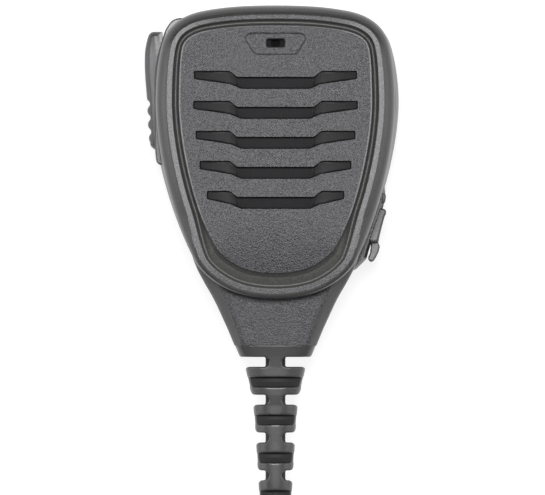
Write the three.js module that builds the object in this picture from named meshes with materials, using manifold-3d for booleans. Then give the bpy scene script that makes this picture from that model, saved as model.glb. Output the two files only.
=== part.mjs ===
// Loudspeaker microphone of a portable two-way radio, lying on its clip with the grille up.
// Millimetres. +X right, +Y towards the top of the microphone, +Z out of the grille.
// Z = 0 is the clip's flat back, and X = Y = 0 is the middle of the housing.
import * as THREE from 'three';
import { LoftGeometry } from 'three/addons/geometries/LoftGeometry.js';
import { mergeVertices } from 'three/addons/utils/BufferGeometryUtils.js';
import Module from 'manifold-3d';

const wasm = await Module();
wasm.setup();

// Housing.
const TOP_Y = 42.5;
const NECK_END_Y = -42.5;
const BACK_Z = 12.5;
const SPLIT_Z = 27;
const FACE_Z = 42;
const WALL = 2.2;
const GAP = 0.3;
const REAR_WIDER = 0.9;
const RIM_WIDE = 3.1;
const GROOVE_DEEP = 1.1;

// Grille.
const SLOT_TOP_Y = 26;
const SLOT_PITCH = 7.5;
const SLOT_HALF = [20.4, 20.6, 20.0, 19.0, 17.2];
const SLOT_DEEP = 1.4;
const SLOT_OPEN_HALF = 15;
const SPEAKER_Y = 9;
const SPEAKER_R = 18;
const MIC_Y = 32.9;

// Talk button and its switch.
const PTT_TOP_Y = 36;
const PTT_END_Y = 6.4;
const PTT_LOW_Z = 16.9;
const PTT_HIGH_Z = 24.6;
const PTT_MIDDLE_Y = 21;
const SWITCH_X = -24.5;

// Circuit board.
const BOARD_Z = 18;
const BOARD_THICK = 1.6;
const BOARD_TOP_Z = BOARD_Z + BOARD_THICK;

// Accessory socket, on the slanted lower right side.
const SOCKET_X = 24.9;
const SOCKET_Y = -11.9;
const SOCKET_Z = 22.5;
const SOCKET_TURN = -0.34;

// Clip.
const PIVOT_Y = 8;
const PIN_Y = 15;
const PIN_Z = 5.6;
const PIN_R = 1.1;
const KNUCKLE_R = 2.9;

// Cord and strain relief.
const CORD_R = 1.9;
const CORD_Z = 26;
const COIL_R = 6.8;
const BOOT_PITCH = 9.5;
const BOOT_SEGMENTS = 5;
const BOOT_END_Y = -99;

function finish(color, roughness, metalness = 0) {
  return new THREE.MeshStandardMaterial({ color, roughness, metalness });
}

const casePlastic = finish(0x4a4b4d, 0.62);
const blackRubber = finish(0x2b2b2d, 0.8);
const greyRubber = finish(0x45464a, 0.75);
const darkCloth = finish(0x1d1d1f, 0.95);
const foam = finish(0x222224, 0.95);
const paleMetal = finish(0xa9abad, 0.4, 1);
const darkMetal = finish(0x3c3d40, 0.45, 1);
const brass = finish(0xb5914c, 0.4, 1);
const coneFilm = finish(0x242426, 0.7);
const boardLaminate = finish(0x24593a, 0.5);
const darkPart = finish(0x202124, 0.45);
const redWire = finish(0x9a2722, 0.55);

const microphone = new THREE.Group();

function add(name, shape, material, parent = microphone) {
  const mesh = new THREE.Mesh(shape.isBufferGeometry ? shape : geometryOf(shape), material);
  mesh.name = name;
  parent.add(mesh);
}

// A closed geometry as a manifold-3d solid, and back.
function solid(geometry) {
  const bare = new THREE.BufferGeometry();
  bare.setAttribute('position', geometry.attributes.position);
  bare.setIndex(geometry.index);
  const merged = mergeVertices(bare, 1e-4);
  const vertProperties = merged.attributes.position.array;
  const triVerts = new Uint32Array(merged.index.array);
  return new wasm.Manifold(new wasm.Mesh({ numProp: 3, vertProperties, triVerts }));
}

function geometryOf(manifold) {
  const mesh = manifold.getMesh();
  const geometry = new THREE.BufferGeometry();
  geometry.setAttribute('position', new THREE.BufferAttribute(mesh.vertProperties, 3));
  geometry.setIndex(new THREE.BufferAttribute(mesh.triVerts, 1));
  geometry.computeVertexNormals();
  return geometry;
}

const join = (shapes) => shapes.reduce((all, shape) => all.add(shape));
const cut = (shape, tools) => tools.reduce((left, tool) => left.subtract(tool), shape);

function block([x0, x1], [y0, y1], [z0, z1]) {
  const geometry = new THREE.BoxGeometry(x1 - x0, y1 - y0, z1 - z0);
  geometry.translate((x0 + x1) / 2, (y0 + y1) / 2, (z0 + z1) / 2);
  return solid(geometry);
}

// A round bar along Z, and one along X.
function post(x, y, r, z0, z1, sides = 16) {
  const geometry = new THREE.CylinderGeometry(r, r, z1 - z0, sides);
  geometry.rotateX(Math.PI / 2);
  geometry.translate(x, y, (z0 + z1) / 2);
  return solid(geometry);
}

function bar(y, z, r, x0, x1, sides = 12) {
  const geometry = new THREE.CylinderGeometry(r, r, x1 - x0, sides);
  geometry.rotateZ(Math.PI / 2);
  geometry.translate((x0 + x1) / 2, y, z);
  return solid(geometry);
}

// A flat outline in X and Y, raised from z0 to z1.
function plate(points, z0, z1) {
  const size = { depth: z1 - z0, bevelEnabled: false };
  const geometry = new THREE.ExtrudeGeometry(new THREE.Shape(points), size);
  geometry.translate(0, 0, z0);
  return solid(geometry);
}

// A flat outline in Y and Z, given as (y, z), raised from x0 to x1.
function sidePlate(points, x0, x1) {
  const size = { depth: x1 - x0, bevelEnabled: false };
  const geometry = new THREE.ExtrudeGeometry(new THREE.Shape(points), size);
  geometry.rotateX(Math.PI / 2);
  geometry.rotateZ(Math.PI / 2);
  geometry.translate(x0, 0, 0);
  return solid(geometry);
}

// A turned piece about the Z axis at (x, y): its profile is a closed loop of (radius, height).
function turned(x, y, profile, sides = 28) {
  const closed = [...profile, profile[0]].map(([r, z]) => new THREE.Vector2(r, z));
  const geometry = new THREE.LatheGeometry(closed, sides);
  geometry.rotateX(Math.PI / 2);
  geometry.translate(x, y, 0);
  return solid(geometry);
}

// A shape whose outline changes with height: layers of [outline, z].
function stack(layers) {
  const sections = layers.map(([points, z]) => points.map((p) => new THREE.Vector3(p.x, p.y, z)));
  return solid(new LoftGeometry(sections, { capStart: true, capEnd: true }));
}

const mirrored = (points) => points.map((p) => new THREE.Vector2(-p.x, p.y)).reverse();
const vectors = (pairs) => pairs.map(([x, y]) => new THREE.Vector2(x, y));

function inset(points, distance) {
  return points.map((p, i) => {
    const before = points[(i + points.length - 1) % points.length];
    const after = points[(i + 1) % points.length];
    const along = after.clone().sub(before).normalize();
    return new THREE.Vector2(p.x - along.y * distance, p.y + along.x * distance);
  });
}

// The housing's outline, anticlockwise from the bottom centre. Its right half is six cubic curves.
function housingOutline(wider) {
  const half = [
    [[0, -31.1], [3, -31.1], [6, -30.75], [9, -29.9], 2],
    [[9, -29.9], [12.4, -28.9], [17, -26.2], [19.8, -22.4], 5],
    [[19.8, -22.4], [26, -11.5], [30.1 + wider, 6.5], [30.1 + wider, 18.5], 7],
    [[30.1 + wider, 18.5], [30.1 + wider, 24.5], [29.3 + wider / 2, 31], [28.2 + wider / 3, 33.9], 4],
    [[28.2 + wider / 3, 33.9], [26.6, 37.9], [23, 40.2], [18, 41.15], 6],
    [[18, 41.15], [13, 42.1], [8, TOP_Y], [0, TOP_Y], 3],
  ];
  const right = half.flatMap(([a, b, c, d, steps]) => {
    const curve = new THREE.CubicBezierCurve(...vectors([a, b, c, d]));
    return curve.getPoints(steps).slice(0, steps);
  });
  const left = mirrored(right.slice(1));
  return [...right, new THREE.Vector2(0, TOP_Y), ...left];
}

const frontOutline = housingOutline(0);
const rearOutline = housingOutline(REAR_WIDER);

// The neck below the face: stations of [y, half width], wide shoulders to the cord outlet.
const NECK = [[-14, 22.4], [-23.1, 20.1], [-31.4, 15.5], [-37.4, 12.6], [NECK_END_Y, 10.25]];
const NECK_FRONT_Z = 36.6;
const NECK_BACK_Z = 13;
const OUTLET_FRONT_Z = 34;
const OUTLET_BACK_Z = 18;

// One end-on section of the neck, made smaller all round by a margin, with its four corners cut off.
function neckSection(y, half, margin) {
  const down = (TOP_Y - 60.4 - y) / (TOP_Y - 60.4 - NECK_END_Y);
  const front = THREE.MathUtils.lerp(NECK_FRONT_Z, OUTLET_FRONT_Z, down) - margin;
  const back = THREE.MathUtils.lerp(NECK_BACK_Z, OUTLET_BACK_Z, down) + margin;
  const wide = half - margin;
  const facet = half * 0.8 - 0.1 - margin;
  const shoulder = (front - CORD_Z) * 0.58;
  const corners = [
    [-facet, back], [facet, back], [wide, CORD_Z - shoulder], [wide, CORD_Z + shoulder],
    [facet, front], [-facet, front], [-wide, CORD_Z + shoulder], [-wide, CORD_Z - shoulder],
  ];
  return corners.map(([x, z]) => new THREE.Vector3(x, y, z));
}

function neck(margin, endY) {
  const sections = NECK.map(([y, half]) => neckSection(Math.max(y, endY), half, margin));
  return solid(new LoftGeometry(sections, { capStart: true, capEnd: true }));
}

const aboveSplit = block([-60, 60], [-60, 60], [SPLIT_Z, 80]);
const belowSplit = block([-60, 60], [-60, 60], [-20, SPLIT_Z - GAP]);
const neckOuter = neck(0, NECK_END_Y);
const neckHollow = neck(WALL, NECK_END_Y + WALL);

// Places of the four case screws, the three board screws and the two cord clamp screws.
const CASE_SCREWS = [[-20.5, 31.5], [20.5, 31.5], [-13.5, -20], [13.5, -20]];
const BOARD_SCREWS = [[0, 35], [-21, -1], [19.5, 3]];
const CLAMP_SCREW_X = 7.8;
const CLAMP_Y = -30;

// The cord outlet in the neck's end wall: the strain relief's waist fills it.
const OUTLET_HALF = 5.2;
const outlet = block([-OUTLET_HALF, OUTLET_HALF], [-45, -38], [CORD_Z - OUTLET_HALF, CORD_Z + OUTLET_HALF]);

// One grille slot: thin wings that step down to a thicker, lower middle.
function slotOutline(topY, half) {
  const right = vectors([
    [8.6, topY - 4.5], [11.9, topY - 3.2], [half - 0.6, topY - 2.1],
    [half, topY - 0.2], [half - 0.4, topY], [11.9, topY], [9.2, topY - 1.4],
  ]);
  return [...right, ...mirrored(right)];
}

// Front cover: rim, raised face, five grille slots, microphone hole, bosses, speaker wall and neck front.
function frontCover() {
  const outer = stack([
    [frontOutline, SPLIT_Z],
    [inset(frontOutline, 0.15), FACE_Z - 5],
    [inset(frontOutline, 0.8), FACE_Z - 2.4],
    [inset(frontOutline, 1.8), FACE_Z - 0.8],
    [inset(frontOutline, RIM_WIDE), FACE_Z],
  ]);
  const grooveOuter = plate(inset(frontOutline, RIM_WIDE + 0.6), FACE_Z - GROOVE_DEEP, FACE_Z + 1);
  const grooveInner = plate(inset(frontOutline, RIM_WIDE + 2.2), FACE_Z - GROOVE_DEEP - 1, FACE_Z + 2);
  const groove = grooveOuter.subtract(grooveInner);
  const hollow = plate(inset(frontOutline, WALL), SPLIT_Z - 1, FACE_Z - WALL);
  const speakerWall = turned(0, SPEAKER_Y, [[SPEAKER_R + 0.4, 34], [SPEAKER_R + 1.5, 34],
    [SPEAKER_R + 1.5, FACE_Z - 2], [SPEAKER_R + 0.4, FACE_Z - 2]], 36);
  const micWall = turned(0, MIC_Y, [[4.5, 36], [5.4, 36], [5.4, FACE_Z - 2], [4.5, FACE_Z - 2]], 20);
  const bosses = CASE_SCREWS.map(([x, y]) => post(x, y, 3, SPLIT_Z + GAP, FACE_Z - 2));
  const bores = CASE_SCREWS.map(([x, y]) => post(x, y, 1.5, SPLIT_Z - 1, 36));
  const slots = SLOT_HALF.flatMap((half, i) => {
    const outline = slotOutline(SLOT_TOP_Y - SLOT_PITCH * i, half);
    const open = plate(outline, FACE_Z - 4, FACE_Z).intersect(
      block([-SLOT_OPEN_HALF, SLOT_OPEN_HALF], [-40, 40], [0, 60]));
    return [plate(outline, FACE_Z - SLOT_DEEP, FACE_Z + 1), open];
  });
  const badge = plate(vectors([[-5.2, 29.9], [5.2, 29.9], [7.7, 33.9], [7.4, 35], [6.4, 35.4],
    [-6.4, 35.4], [-7.4, 35], [-7.7, 33.9]]), FACE_Z - 0.4, FACE_Z + 1);
  const micHole = plate(vectors([[-1.8, 31.9], [1.8, 31.9], [2.25, 32.4], [2.25, 33.4], [1.8, 33.9],
    [-1.8, 33.9], [-2.25, 33.4], [-2.25, 32.4]]), FACE_Z - 4, FACE_Z + 1);
  const shell = cut(join([outer, neckOuter.intersect(aboveSplit)]), [groove, hollow, neckHollow, outlet]);
  const bossesInside = join([speakerWall, micWall, ...bosses]);
  return cut(shell.add(bossesInside), [...bores, ...slots, badge, micHole]);
}

// The corner piece of the rear cover that the talk button lies against.
const pttSurround = vectors([[-22, 39.5], [-24.6, 39.5], [-25.9, 39.1], [-27.4, 37.1], [-28.6, 33.6],
  [-29.9, 28.6], [-30.4, 24], [-30.4, 8], [-30, 2.5], [-28.2, 2.4], [-28.2, 28], [-26.6, 33.5],
  [-24.6, 37.3], [-22, 38.4]]);

// The accessory socket's axis leaves the side wall at a slant, so its pieces sit in a turned group.
const socketGroup = new THREE.Group();
socketGroup.position.set(SOCKET_X, SOCKET_Y, SOCKET_Z);
socketGroup.rotation.z = SOCKET_TURN;
microphone.add(socketGroup);

function inSocketFrame(shape) {
  const geometry = geometryOf(shape);
  socketGroup.updateMatrixWorld();
  geometry.applyMatrix4(socketGroup.matrixWorld);
  return solid(geometry);
}

// Rear cover: tub with the talk button's pocket, screw bosses, socket opening and neck back.
function rearCover() {
  const outer = stack([
    [inset(rearOutline, 5), BACK_Z],
    [inset(rearOutline, 2.4), BACK_Z + 0.8],
    [inset(rearOutline, 0.8), BACK_Z + 2.6],
    [rearOutline, BACK_Z + 5.5],
    [rearOutline, SPLIT_Z - GAP],
  ]);
  const surround = plate(pttSurround, BACK_Z + 2.6, SPLIT_Z - GAP);
  const hollow = stack([
    [inset(rearOutline, 3.6), BACK_Z + WALL],
    [inset(rearOutline, 2.8), BACK_Z + 3.5],
    [inset(rearOutline, WALL), BACK_Z + 5.5],
    [inset(rearOutline, WALL), SPLIT_Z],
  ]);
  const sealGroove = plate(inset(rearOutline, 0.7), SPLIT_Z - 1.1, SPLIT_Z).subtract(
    plate(inset(rearOutline, 1.7), SPLIT_Z - 2, SPLIT_Z + 1));
  const sealReach = sealGroove.intersect(block([-60, 60], [-14, 60], [0, 60]));
  const pocket = block([-40, -27], [PTT_END_Y - 0.5, PTT_TOP_Y + 0.5], [PTT_LOW_Z - 0.4, PTT_HIGH_Z + 0.4]);
  const flangeRoom = block([-28.2, -25.6], [7.4, 30.6], [15.6, 26.1]);
  const socketHole = inSocketFrame(bar(0, 0, 2.4, -6, 3, 16));
  const coverSeat = inSocketFrame(block([-1.2, 4], [-5.6, 8], [-3.9, 3.9]));
  const bosses = CASE_SCREWS.map(([x, y]) => post(x, y, 4.2, BACK_Z + 1, SPLIT_Z - GAP));
  const posts = BOARD_SCREWS.map(([x, y]) => post(x, y, 2.4, BACK_Z + 1, BOARD_Z - GAP));
  const clampPosts = [-CLAMP_SCREW_X, CLAMP_SCREW_X].map(
    (x) => post(x, CLAMP_Y, 2.2, BACK_Z + 3, SPLIT_Z + 0.9),
  );
  const cradle = block([-4.4, 4.4], [CLAMP_Y - 2.2, CLAMP_Y + 2.2], [BACK_Z + 3, CORD_Z - CORD_R - GAP]);
  const insertBoss = post(0, PIVOT_Y, 5.2, BACK_Z + 1, BOARD_Z - GAP, 20);
  const tub = cut(join([outer, surround, neckOuter.intersect(belowSplit)]), [hollow, neckHollow, outlet]);
  const holes = [
    ...CASE_SCREWS.flatMap(([x, y]) => [post(x, y, 2.9, BACK_Z - 1, 18.5), post(x, y, 1.5, 18, 28)]),
    ...BOARD_SCREWS.map(([x, y]) => post(x, y, 1.15, 15, BOARD_Z)),
    ...[-CLAMP_SCREW_X, CLAMP_SCREW_X].map((x) => post(x, CLAMP_Y, 1.15, 20, 30)),
    post(0, PIVOT_Y, 3.9, BACK_Z - 1, 22, 20),
  ];
  const fitted = join([tub, ...bosses, ...posts, ...clampPosts, cradle, insertBoss]);
  return cut(fitted, [sealReach, pocket, flangeRoom, socketHole, coverSeat, ...holes]);
}

function housingSeal() {
  const ring = plate(inset(rearOutline, 0.95), SPLIT_Z - 0.85, SPLIT_Z - 0.1).subtract(
    plate(inset(rearOutline, 1.45), SPLIT_Z - 2, SPLIT_Z + 1));
  return ring.intersect(block([-60, 60], [-13.7, 60], [0, 60]));
}

add('front_cover', frontCover(), casePlastic);
add('rear_cover', rearCover(), casePlastic);
add('housing_seal', housingSeal(), blackRubber);

// Grille cloth and loudspeaker, stacked behind the slots. Each piece is turned about the speaker's axis.
const CLOTH_Z = FACE_Z - WALL - GAP;
add('grille_cloth', post(0, SPEAKER_Y, SPEAKER_R, CLOTH_Z - 0.4, CLOTH_Z, 32), darkCloth);
const gasketSection = [[15.6, 38], [SPEAKER_R, 38], [SPEAKER_R, 38.8], [15.6, 38.8]];
add('speaker_gasket', turned(0, SPEAKER_Y, gasketSection), foam);
add('speaker_basket', turned(0, SPEAKER_Y, [[10.4, 32.6], [11.6, 32.6], [16.4, 36.4], [SPEAKER_R, 36.8],
  [SPEAKER_R, 37.7], [15.9, 37.7], [15.4, 36.8], [10.4, 33.4]], 32), paleMetal);
add('speaker_yoke', turned(0, SPEAKER_Y, [[0.01, 26.4], [9.6, 26.4], [9.6, 27.4], [5.2, 27.4], [5.2, 31.8],
  [0.01, 31.8]]).add(post(0, SPEAKER_Y, 0.5, 26.4, 31.8, 8)), darkMetal);
add('speaker_magnet', turned(0, SPEAKER_Y, [[7, 27.7], [10.5, 27.7], [10.5, 30.7], [7, 30.7]]), darkMetal);
add('magnet_plate', turned(0, SPEAKER_Y, [[6.9, 31], [10, 31], [10, 32.3], [6.9, 32.3]]), paleMetal);
const coneSection = [[6.5, 34.2], [15, 37.6], [15, 37.9], [14.8, 37.95], [6.5, 34.7]];
add('speaker_cone', turned(0, SPEAKER_Y, coneSection), coneFilm);
add('voice_coil', turned(0, SPEAKER_Y, [[5.7, 29.5], [6.3, 29.5], [6.3, 33.9], [5.7, 33.9]], 20), brass);
add('dust_cap', turned(0, SPEAKER_Y, [[0.6, 35.7], [4.4, 34.9], [6.2, 34.1], [6.2, 34.4], [4.6, 35.4],
  [2.6, 36], [0.6, 36.2]], 20).add(post(0, SPEAKER_Y, 1, 35.75, 36.15, 20)), coneFilm);

// Microphone capsule in its rubber boot, behind the small hole at the top.
const micBootSection = [[3.3, 34.2], [4.2, 34.2], [4.2, 39.4], [1.2, 39.4], [1.2, 38.4], [3.3, 38.4]];
add('mic_boot', turned(0, MIC_Y, micBootSection, 20),
  blackRubber);
add('mic_capsule', post(0, MIC_Y, 3, 35, 38.1), paleMetal);

// Circuit board, cut away around the screw bosses, with the parts it carries.
function circuitBoard() {
  const sheet = plate(inset(frontOutline, 4.4), BOARD_Z, BOARD_TOP_Z);
  const above = block([-60, 60], [-23, 60], [0, 60]);
  const notches = CASE_SCREWS.map(([x, y]) => post(x, y, 4.7, 10, 30));
  const holes = BOARD_SCREWS.map(([x, y]) => post(x, y, 1.3, 10, 30, 12));
  return cut(sheet.intersect(above), [...notches, ...holes]);
}

const onBoard = BOARD_TOP_Z + GAP;
add('circuit_board', circuitBoard(), boardLaminate);
add('audio_chip', block([-6, 2], [-16, -9.5], [onBoard, onBoard + 1.6]), darkPart);
add('filter_capacitor', post(8, -16, 2, onBoard, onBoard + 3.4), paleMetal);
add('cord_header', block([-7, 5], [-22.3, -18.8], [onBoard, onBoard + 4]), finish(0xd8d4c4, 0.5));
BOARD_SCREWS.forEach(([x, y], i) => {
  const head = post(x, y, 2, onBoard, onBoard + 1.1);
  add(`board_screw_${i + 1}`, head.add(post(x, y, 0.85, 15.4, onBoard + 0.2, 10)), paleMetal);
});

// Case screws, driven from the back through the rear cover's bosses into the front cover's.
CASE_SCREWS.forEach(([x, y], i) => {
  add(`case_screw_${i + 1}`, join([post(x, y, 2.6, 16, 18.2), post(x, y, 1.2, 18, 35, 10)]), darkMetal);
});

// Speaker leads, from the board up to the basket's edge.
[-1, 1].forEach((side) => {
  const route = new THREE.CatmullRomCurve3([
    new THREE.Vector3(side * 4, -12, 25.4), new THREE.Vector3(side * 6, -12.6, 27),
    new THREE.Vector3(side * 8, -11.6, 30), new THREE.Vector3(side * 8.2, -8.2, 32.8),
  ]);
  const section = new THREE.Shape().absarc(0, 0, 0.45, 0, Math.PI * 2);
  const lead = new THREE.ExtrudeGeometry(section, { steps: 10, curveSegments: 3, extrudePath: route });
  add(side < 0 ? 'speaker_lead_black' : 'speaker_lead_red', solid(lead), side < 0 ? blackRubber : redWire);
});

// Talk button: thumb pad with three ribs at its lower end, a keeper flange behind and a stem for the switch.
function talkButton() {
  const ribs = [0, 1, 2].flatMap((k) => [
    [-31.65 + 0.05 * k, 17.9 - 3.5 * k],
    [-32.25 + 0.15 * k, 16.7 - 3.5 * k],
    [-32.25 + 0.15 * k, 15.5 - 3.5 * k],
  ]);
  const top = [[-28.4, PTT_TOP_Y - 0.4], [-29, PTT_TOP_Y], [-31.2, PTT_TOP_Y], [-32.1, 34.6], [-32.7, 31.5]];
  const middle = [[-32.9, 28], [-32.75, 24.5], [-32.2, 19.4]];
  const end = [[-31.5, 7.6], [-30.4, PTT_END_Y], [-28.4, PTT_END_Y]];
  const outline = vectors([...top, ...middle, ...ribs, ...end]);
  const pad = stack([
    [inset(outline, 0.5), PTT_LOW_Z],
    [outline, PTT_LOW_Z + 0.7],
    [outline, PTT_HIGH_Z - 0.7],
    [inset(outline, 0.5), PTT_HIGH_Z],
  ]);
  const bridge = block([-28.9, -27.5], [8.4, 29.6], [PTT_LOW_Z + 0.6, PTT_HIGH_Z - 0.6]);
  const flange = block([-27.9, -27.1], [8, 30], [15.9, 25.8]);
  const stem = block([-27.2, -26.35], [PTT_MIDDLE_Y - 2, PTT_MIDDLE_Y + 2], [20.6, 23.2]);
  return join([pad, bridge, flange, stem]);
}

add('talk_button', talkButton(), greyRubber);
const switchBody = block([SWITCH_X, -19.5], [PTT_MIDDLE_Y - 3, PTT_MIDDLE_Y + 3], [onBoard, 24.2]);
const mouthY = [PTT_MIDDLE_Y - 1.6, PTT_MIDDLE_Y + 1.6];
const switchMouth = block([SWITCH_X - 1, SWITCH_X + 1.6], mouthY, [20.7, 23.1]);
add('talk_switch', switchBody.subtract(switchMouth), darkPart);
add('switch_plunger', block([-25.4, SWITCH_X + 0.9], [PTT_MIDDLE_Y - 1.3, PTT_MIDDLE_Y + 1.3], [21, 22.8]),
  finish(0xcfcabc, 0.5));

// Accessory socket and its rubber cover. In their group +X leaves the side wall and +Y runs up along it.
const SOCKET_BORE_R = 1.75;
const socketShell = block([-13.5, -3.2], [-3, 3], [-2.5, 2.6]).add(bar(0, 0, 2.1, -3.4, -1.9, 16));
add('accessory_socket', socketShell.subtract(bar(0, 0, SOCKET_BORE_R, -12.5, 0, 16)), darkPart, socketGroup);

// The cover turns on a waist at its upper end, where the anchor holds it in the wall.
// Its lower end is a pull tab.
const WAIST_X = 2;
const WAIST_Y = 4.6;
function socketCover() {
  const flap = plate(vectors([[-0.9, -5.2], [1.9, -5.2], [WAIST_X, 3.6], [WAIST_X - 0.1, WAIST_Y],
    [1.1, WAIST_Y + 0.4], [0.2, WAIST_Y], [0.1, 3.3], [-0.9, 3.2]]), -3.5, 3.5);
  const tab = plate(vectors([[1.2, -5.6], [1.9, -4.8], [3, -5.9], [3.5, -7.2], [3.3, -9.4], [2.5, -10.2],
    [1.7, -9.8], [1.5, -7.6], [1.1, -6.2]]), -2.6, 2.6);
  return join([flap, tab, bar(0, 0, 1.5, -1.6, -0.8, 12)]);
}

add('socket_cover', socketCover(), greyRubber, socketGroup);
const anchorSide = vectors([[-0.9, 5.4], [1.4, 5.4], [2, 6], [1.9, 7], [1.2, 7.6], [-0.9, 7.6]]);
add('socket_cover_anchor', plate(anchorSide, -3.4, 3.4),
  greyRubber, socketGroup);

// Cord clamp: a bar over the cord, with a screw at each end into the rear cover.
const CLAMP_Z = CORD_Z + CORD_R + GAP;
add('cord_clamp', cut(block([-10.2, 10.2], [CLAMP_Y - 2.4, CLAMP_Y + 2.4], [CLAMP_Z, CLAMP_Z + 2]),
  [-CLAMP_SCREW_X, CLAMP_SCREW_X].map((x) => post(x, CLAMP_Y, 1.3, 20, 40, 12))), darkPart);
[-CLAMP_SCREW_X, CLAMP_SCREW_X].forEach((x, i) => {
  const head = post(x, CLAMP_Y, 2, CLAMP_Z + 2 + GAP, CLAMP_Z + 3.3, 12);
  add(`clamp_screw_${i + 1}`, head.add(post(x, CLAMP_Y, 0.85, 20.5, CLAMP_Z + 2.5, 10)), paleMetal);
});

// Clip: a plate that swivels on one screw, and a sprung arm hinged on a pin between the plate's ears.
const PLATE_Z = [9.8, BACK_Z - GAP];
const CLIP_LOW_Y = -18;
const ARM_THICK = 2.4;
const EAR_X = [7.3, 9.3];
const LUG_X = [4.9, 6.9];

function roundedRectangle(halfX, y0, y1, r) {
  const shape = new THREE.Shape();
  shape.moveTo(-halfX + r, y0);
  shape.lineTo(halfX - r, y0);
  shape.absarc(halfX - r, y0 + r, r, -Math.PI / 2, 0);
  shape.absarc(halfX - r, y1 - r, r, 0, Math.PI / 2);
  shape.absarc(-halfX + r, y1 - r, r, Math.PI / 2, Math.PI);
  shape.absarc(-halfX + r, y0 + r, r, Math.PI, Math.PI * 1.5);
  return shape.getPoints(4).slice(0, -1);
}

// An ear or lug: wide at its root, and round about the hinge pin.
function knuckle(rootZ, [x0, x1]) {
  const towards = Math.sign(rootZ - PIN_Z);
  const round = Array.from({ length: 9 }, (_, i) => {
    const turn = Math.PI * (i / 8);
    return [PIN_Y + KNUCKLE_R * Math.cos(turn), PIN_Z - towards * KNUCKLE_R * Math.sin(turn)];
  });
  const outline = vectors([[PIN_Y + 4, rootZ], ...round, [PIN_Y - 4, rootZ]]);
  return sidePlate(towards > 0 ? outline.reverse() : outline, x0, x1);
}

const bothSides = (x) => [x, [-x[1], -x[0]]];
const pinHole = bar(PIN_Y, PIN_Z, PIN_R + 0.25, -12, 12);

function clipPlate() {
  const sheet = plate(roundedRectangle(10, CLIP_LOW_Y, 28, 3), ...PLATE_Z);
  const ears = bothSides(EAR_X).map((x) => knuckle(PLATE_Z[0] + 0.2, x));
  return cut(join([sheet, ...ears]), [pinHole, post(0, PIVOT_Y, 2.3, 5, 15)]);
}

function clipArm() {
  const sheet = plate(roundedRectangle(9.5, CLIP_LOW_Y, 30, 3), 0, ARM_THICK);
  const lugs = bothSides(LUG_X).map((x) => knuckle(ARM_THICK - 0.2, x));
  const jaw = block([-8, 8], [CLIP_LOW_Y + 0.4, CLIP_LOW_Y + 2.6], [ARM_THICK - 0.2, PLATE_Z[0] - GAP]);
  return cut(join([sheet, ...lugs, jaw]), [pinHole, post(0, PIVOT_Y, 3.3, -1, 4)]);
}

function clipSpring() {
  const coil = bar(PIN_Y, PIN_Z, 2.5, -4.4, 4.4).subtract(bar(PIN_Y, PIN_Z, 1.5, -5, 5));
  const upperLeg = sidePlate(vectors([[15.5, 7.1], [26, 8.6], [26, 9.4], [15.5, 8]]), 3.6, 4.4);
  const lowerLeg = sidePlate(vectors([[15.5, 3.2], [26, 2.8], [26, 3.6], [15.5, 4.1]]), -4.4, -3.6);
  return join([coil, upperLeg, lowerLeg]);
}

add('clip_plate', clipPlate(), casePlastic);
add('clip_arm', clipArm(), casePlastic);
add('clip_pin', bar(PIN_Y, PIN_Z, PIN_R, -9.3, 9.3), paleMetal);
add('clip_spring', clipSpring(), paleMetal);
add('clip_washer', turned(0, PIVOT_Y, [[2.4, 9.1], [4.8, 9.1], [4.8, 9.5], [2.4, 9.5]], 20), paleMetal);
add('clip_screw', join([post(0, PIVOT_Y, 3.9, 7.2, 8.8, 20), post(0, PIVOT_Y, 1.9, 8.6, 17)]), darkMetal);
add('clip_insert', turned(0, PIVOT_Y, [[2.3, 12.8], [3.6, 12.8], [3.6, 17.3], [2.3, 17.3]], 16), brass);

// Strain relief: stations of [y, half width, half depth], from the collar to the thin end.
const BOOT = [[-42.8, 10.2, 7.9], [-45.6, 8.9, 7.2], [-48.2, 7.5, 6.9], [-55.2, 6.1, 6.2], [-57.8, 5.5, 5.8],
  [-64.8, 5.0, 5.3], [-67.3, 4.8, 5.1], [-76.7, 4.25, 4.5], [-86.3, 3.8, 3.9], [-93.2, 3.6, 3.6],
  [BOOT_END_Y, 2.9, 2.9]];
const BOOT_FIRST_SLOT_Y = -45.6;
const BOOT_SLOT = 2.5;
const BOOT_CORE_R = 2.5;
const BOOT_SPINE_HALF = 1.5;

function bootSection([y, halfX, halfZ]) {
  const corners = [[-0.62, -1], [0.62, -1], [0.92, -0.88], [1, -0.55], [1, 0.55], [0.92, 0.88],
    [0.62, 1], [-0.62, 1], [-0.92, 0.88], [-1, 0.55], [-1, -0.55], [-0.92, -0.88]];
  return corners.map(([x, z]) => new THREE.Vector3(x * halfX, y, CORD_Z + z * halfZ));
}

// A round bar along Y about the cord's axis.
function axial(r, y0, y1, sides = 14) {
  const geometry = new THREE.CylinderGeometry(r, r, y1 - y0, sides);
  geometry.translate(0, (y0 + y1) / 2, CORD_Z);
  return solid(geometry);
}

function strainRelief() {
  const body = solid(new LoftGeometry(BOOT.map(bootSection), { capStart: true, capEnd: true }));
  const spine = block([-BOOT_SPINE_HALF, BOOT_SPINE_HALF], [-96, -43], [0, 60]);
  const slots = Array.from({ length: BOOT_SEGMENTS }, (_, k) => {
    const y = BOOT_FIRST_SLOT_Y - BOOT_PITCH * k;
    const sides = block([-20, 20], [y - BOOT_SLOT, y], [0, 60]).subtract(spine);
    const faces = block([-20, 20], [y - 7.5, y - 5.1], [0, 60]).subtract(
      block([-20, 20], [-99, -40], [CORD_Z - BOOT_CORE_R, CORD_Z + BOOT_CORE_R]));
    return sides.add(faces);
  });
  const core = axial(BOOT_CORE_R, BOOT_END_Y, -43);
  const waist = block([-4.9, 4.9], [-43, -39.5], [CORD_Z - 4.9, CORD_Z + 4.9]);
  const flange = block([-6.6, 6.6], [-40, -38.4], [CORD_Z - 5.2, CORD_Z + 5.2]);
  return cut(join([cut(body, slots), core, waist, flange]), [axial(CORD_R + GAP, -110, -30, 12)]);
}

add('strain_relief', strainRelief(), blackRubber);

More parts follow.
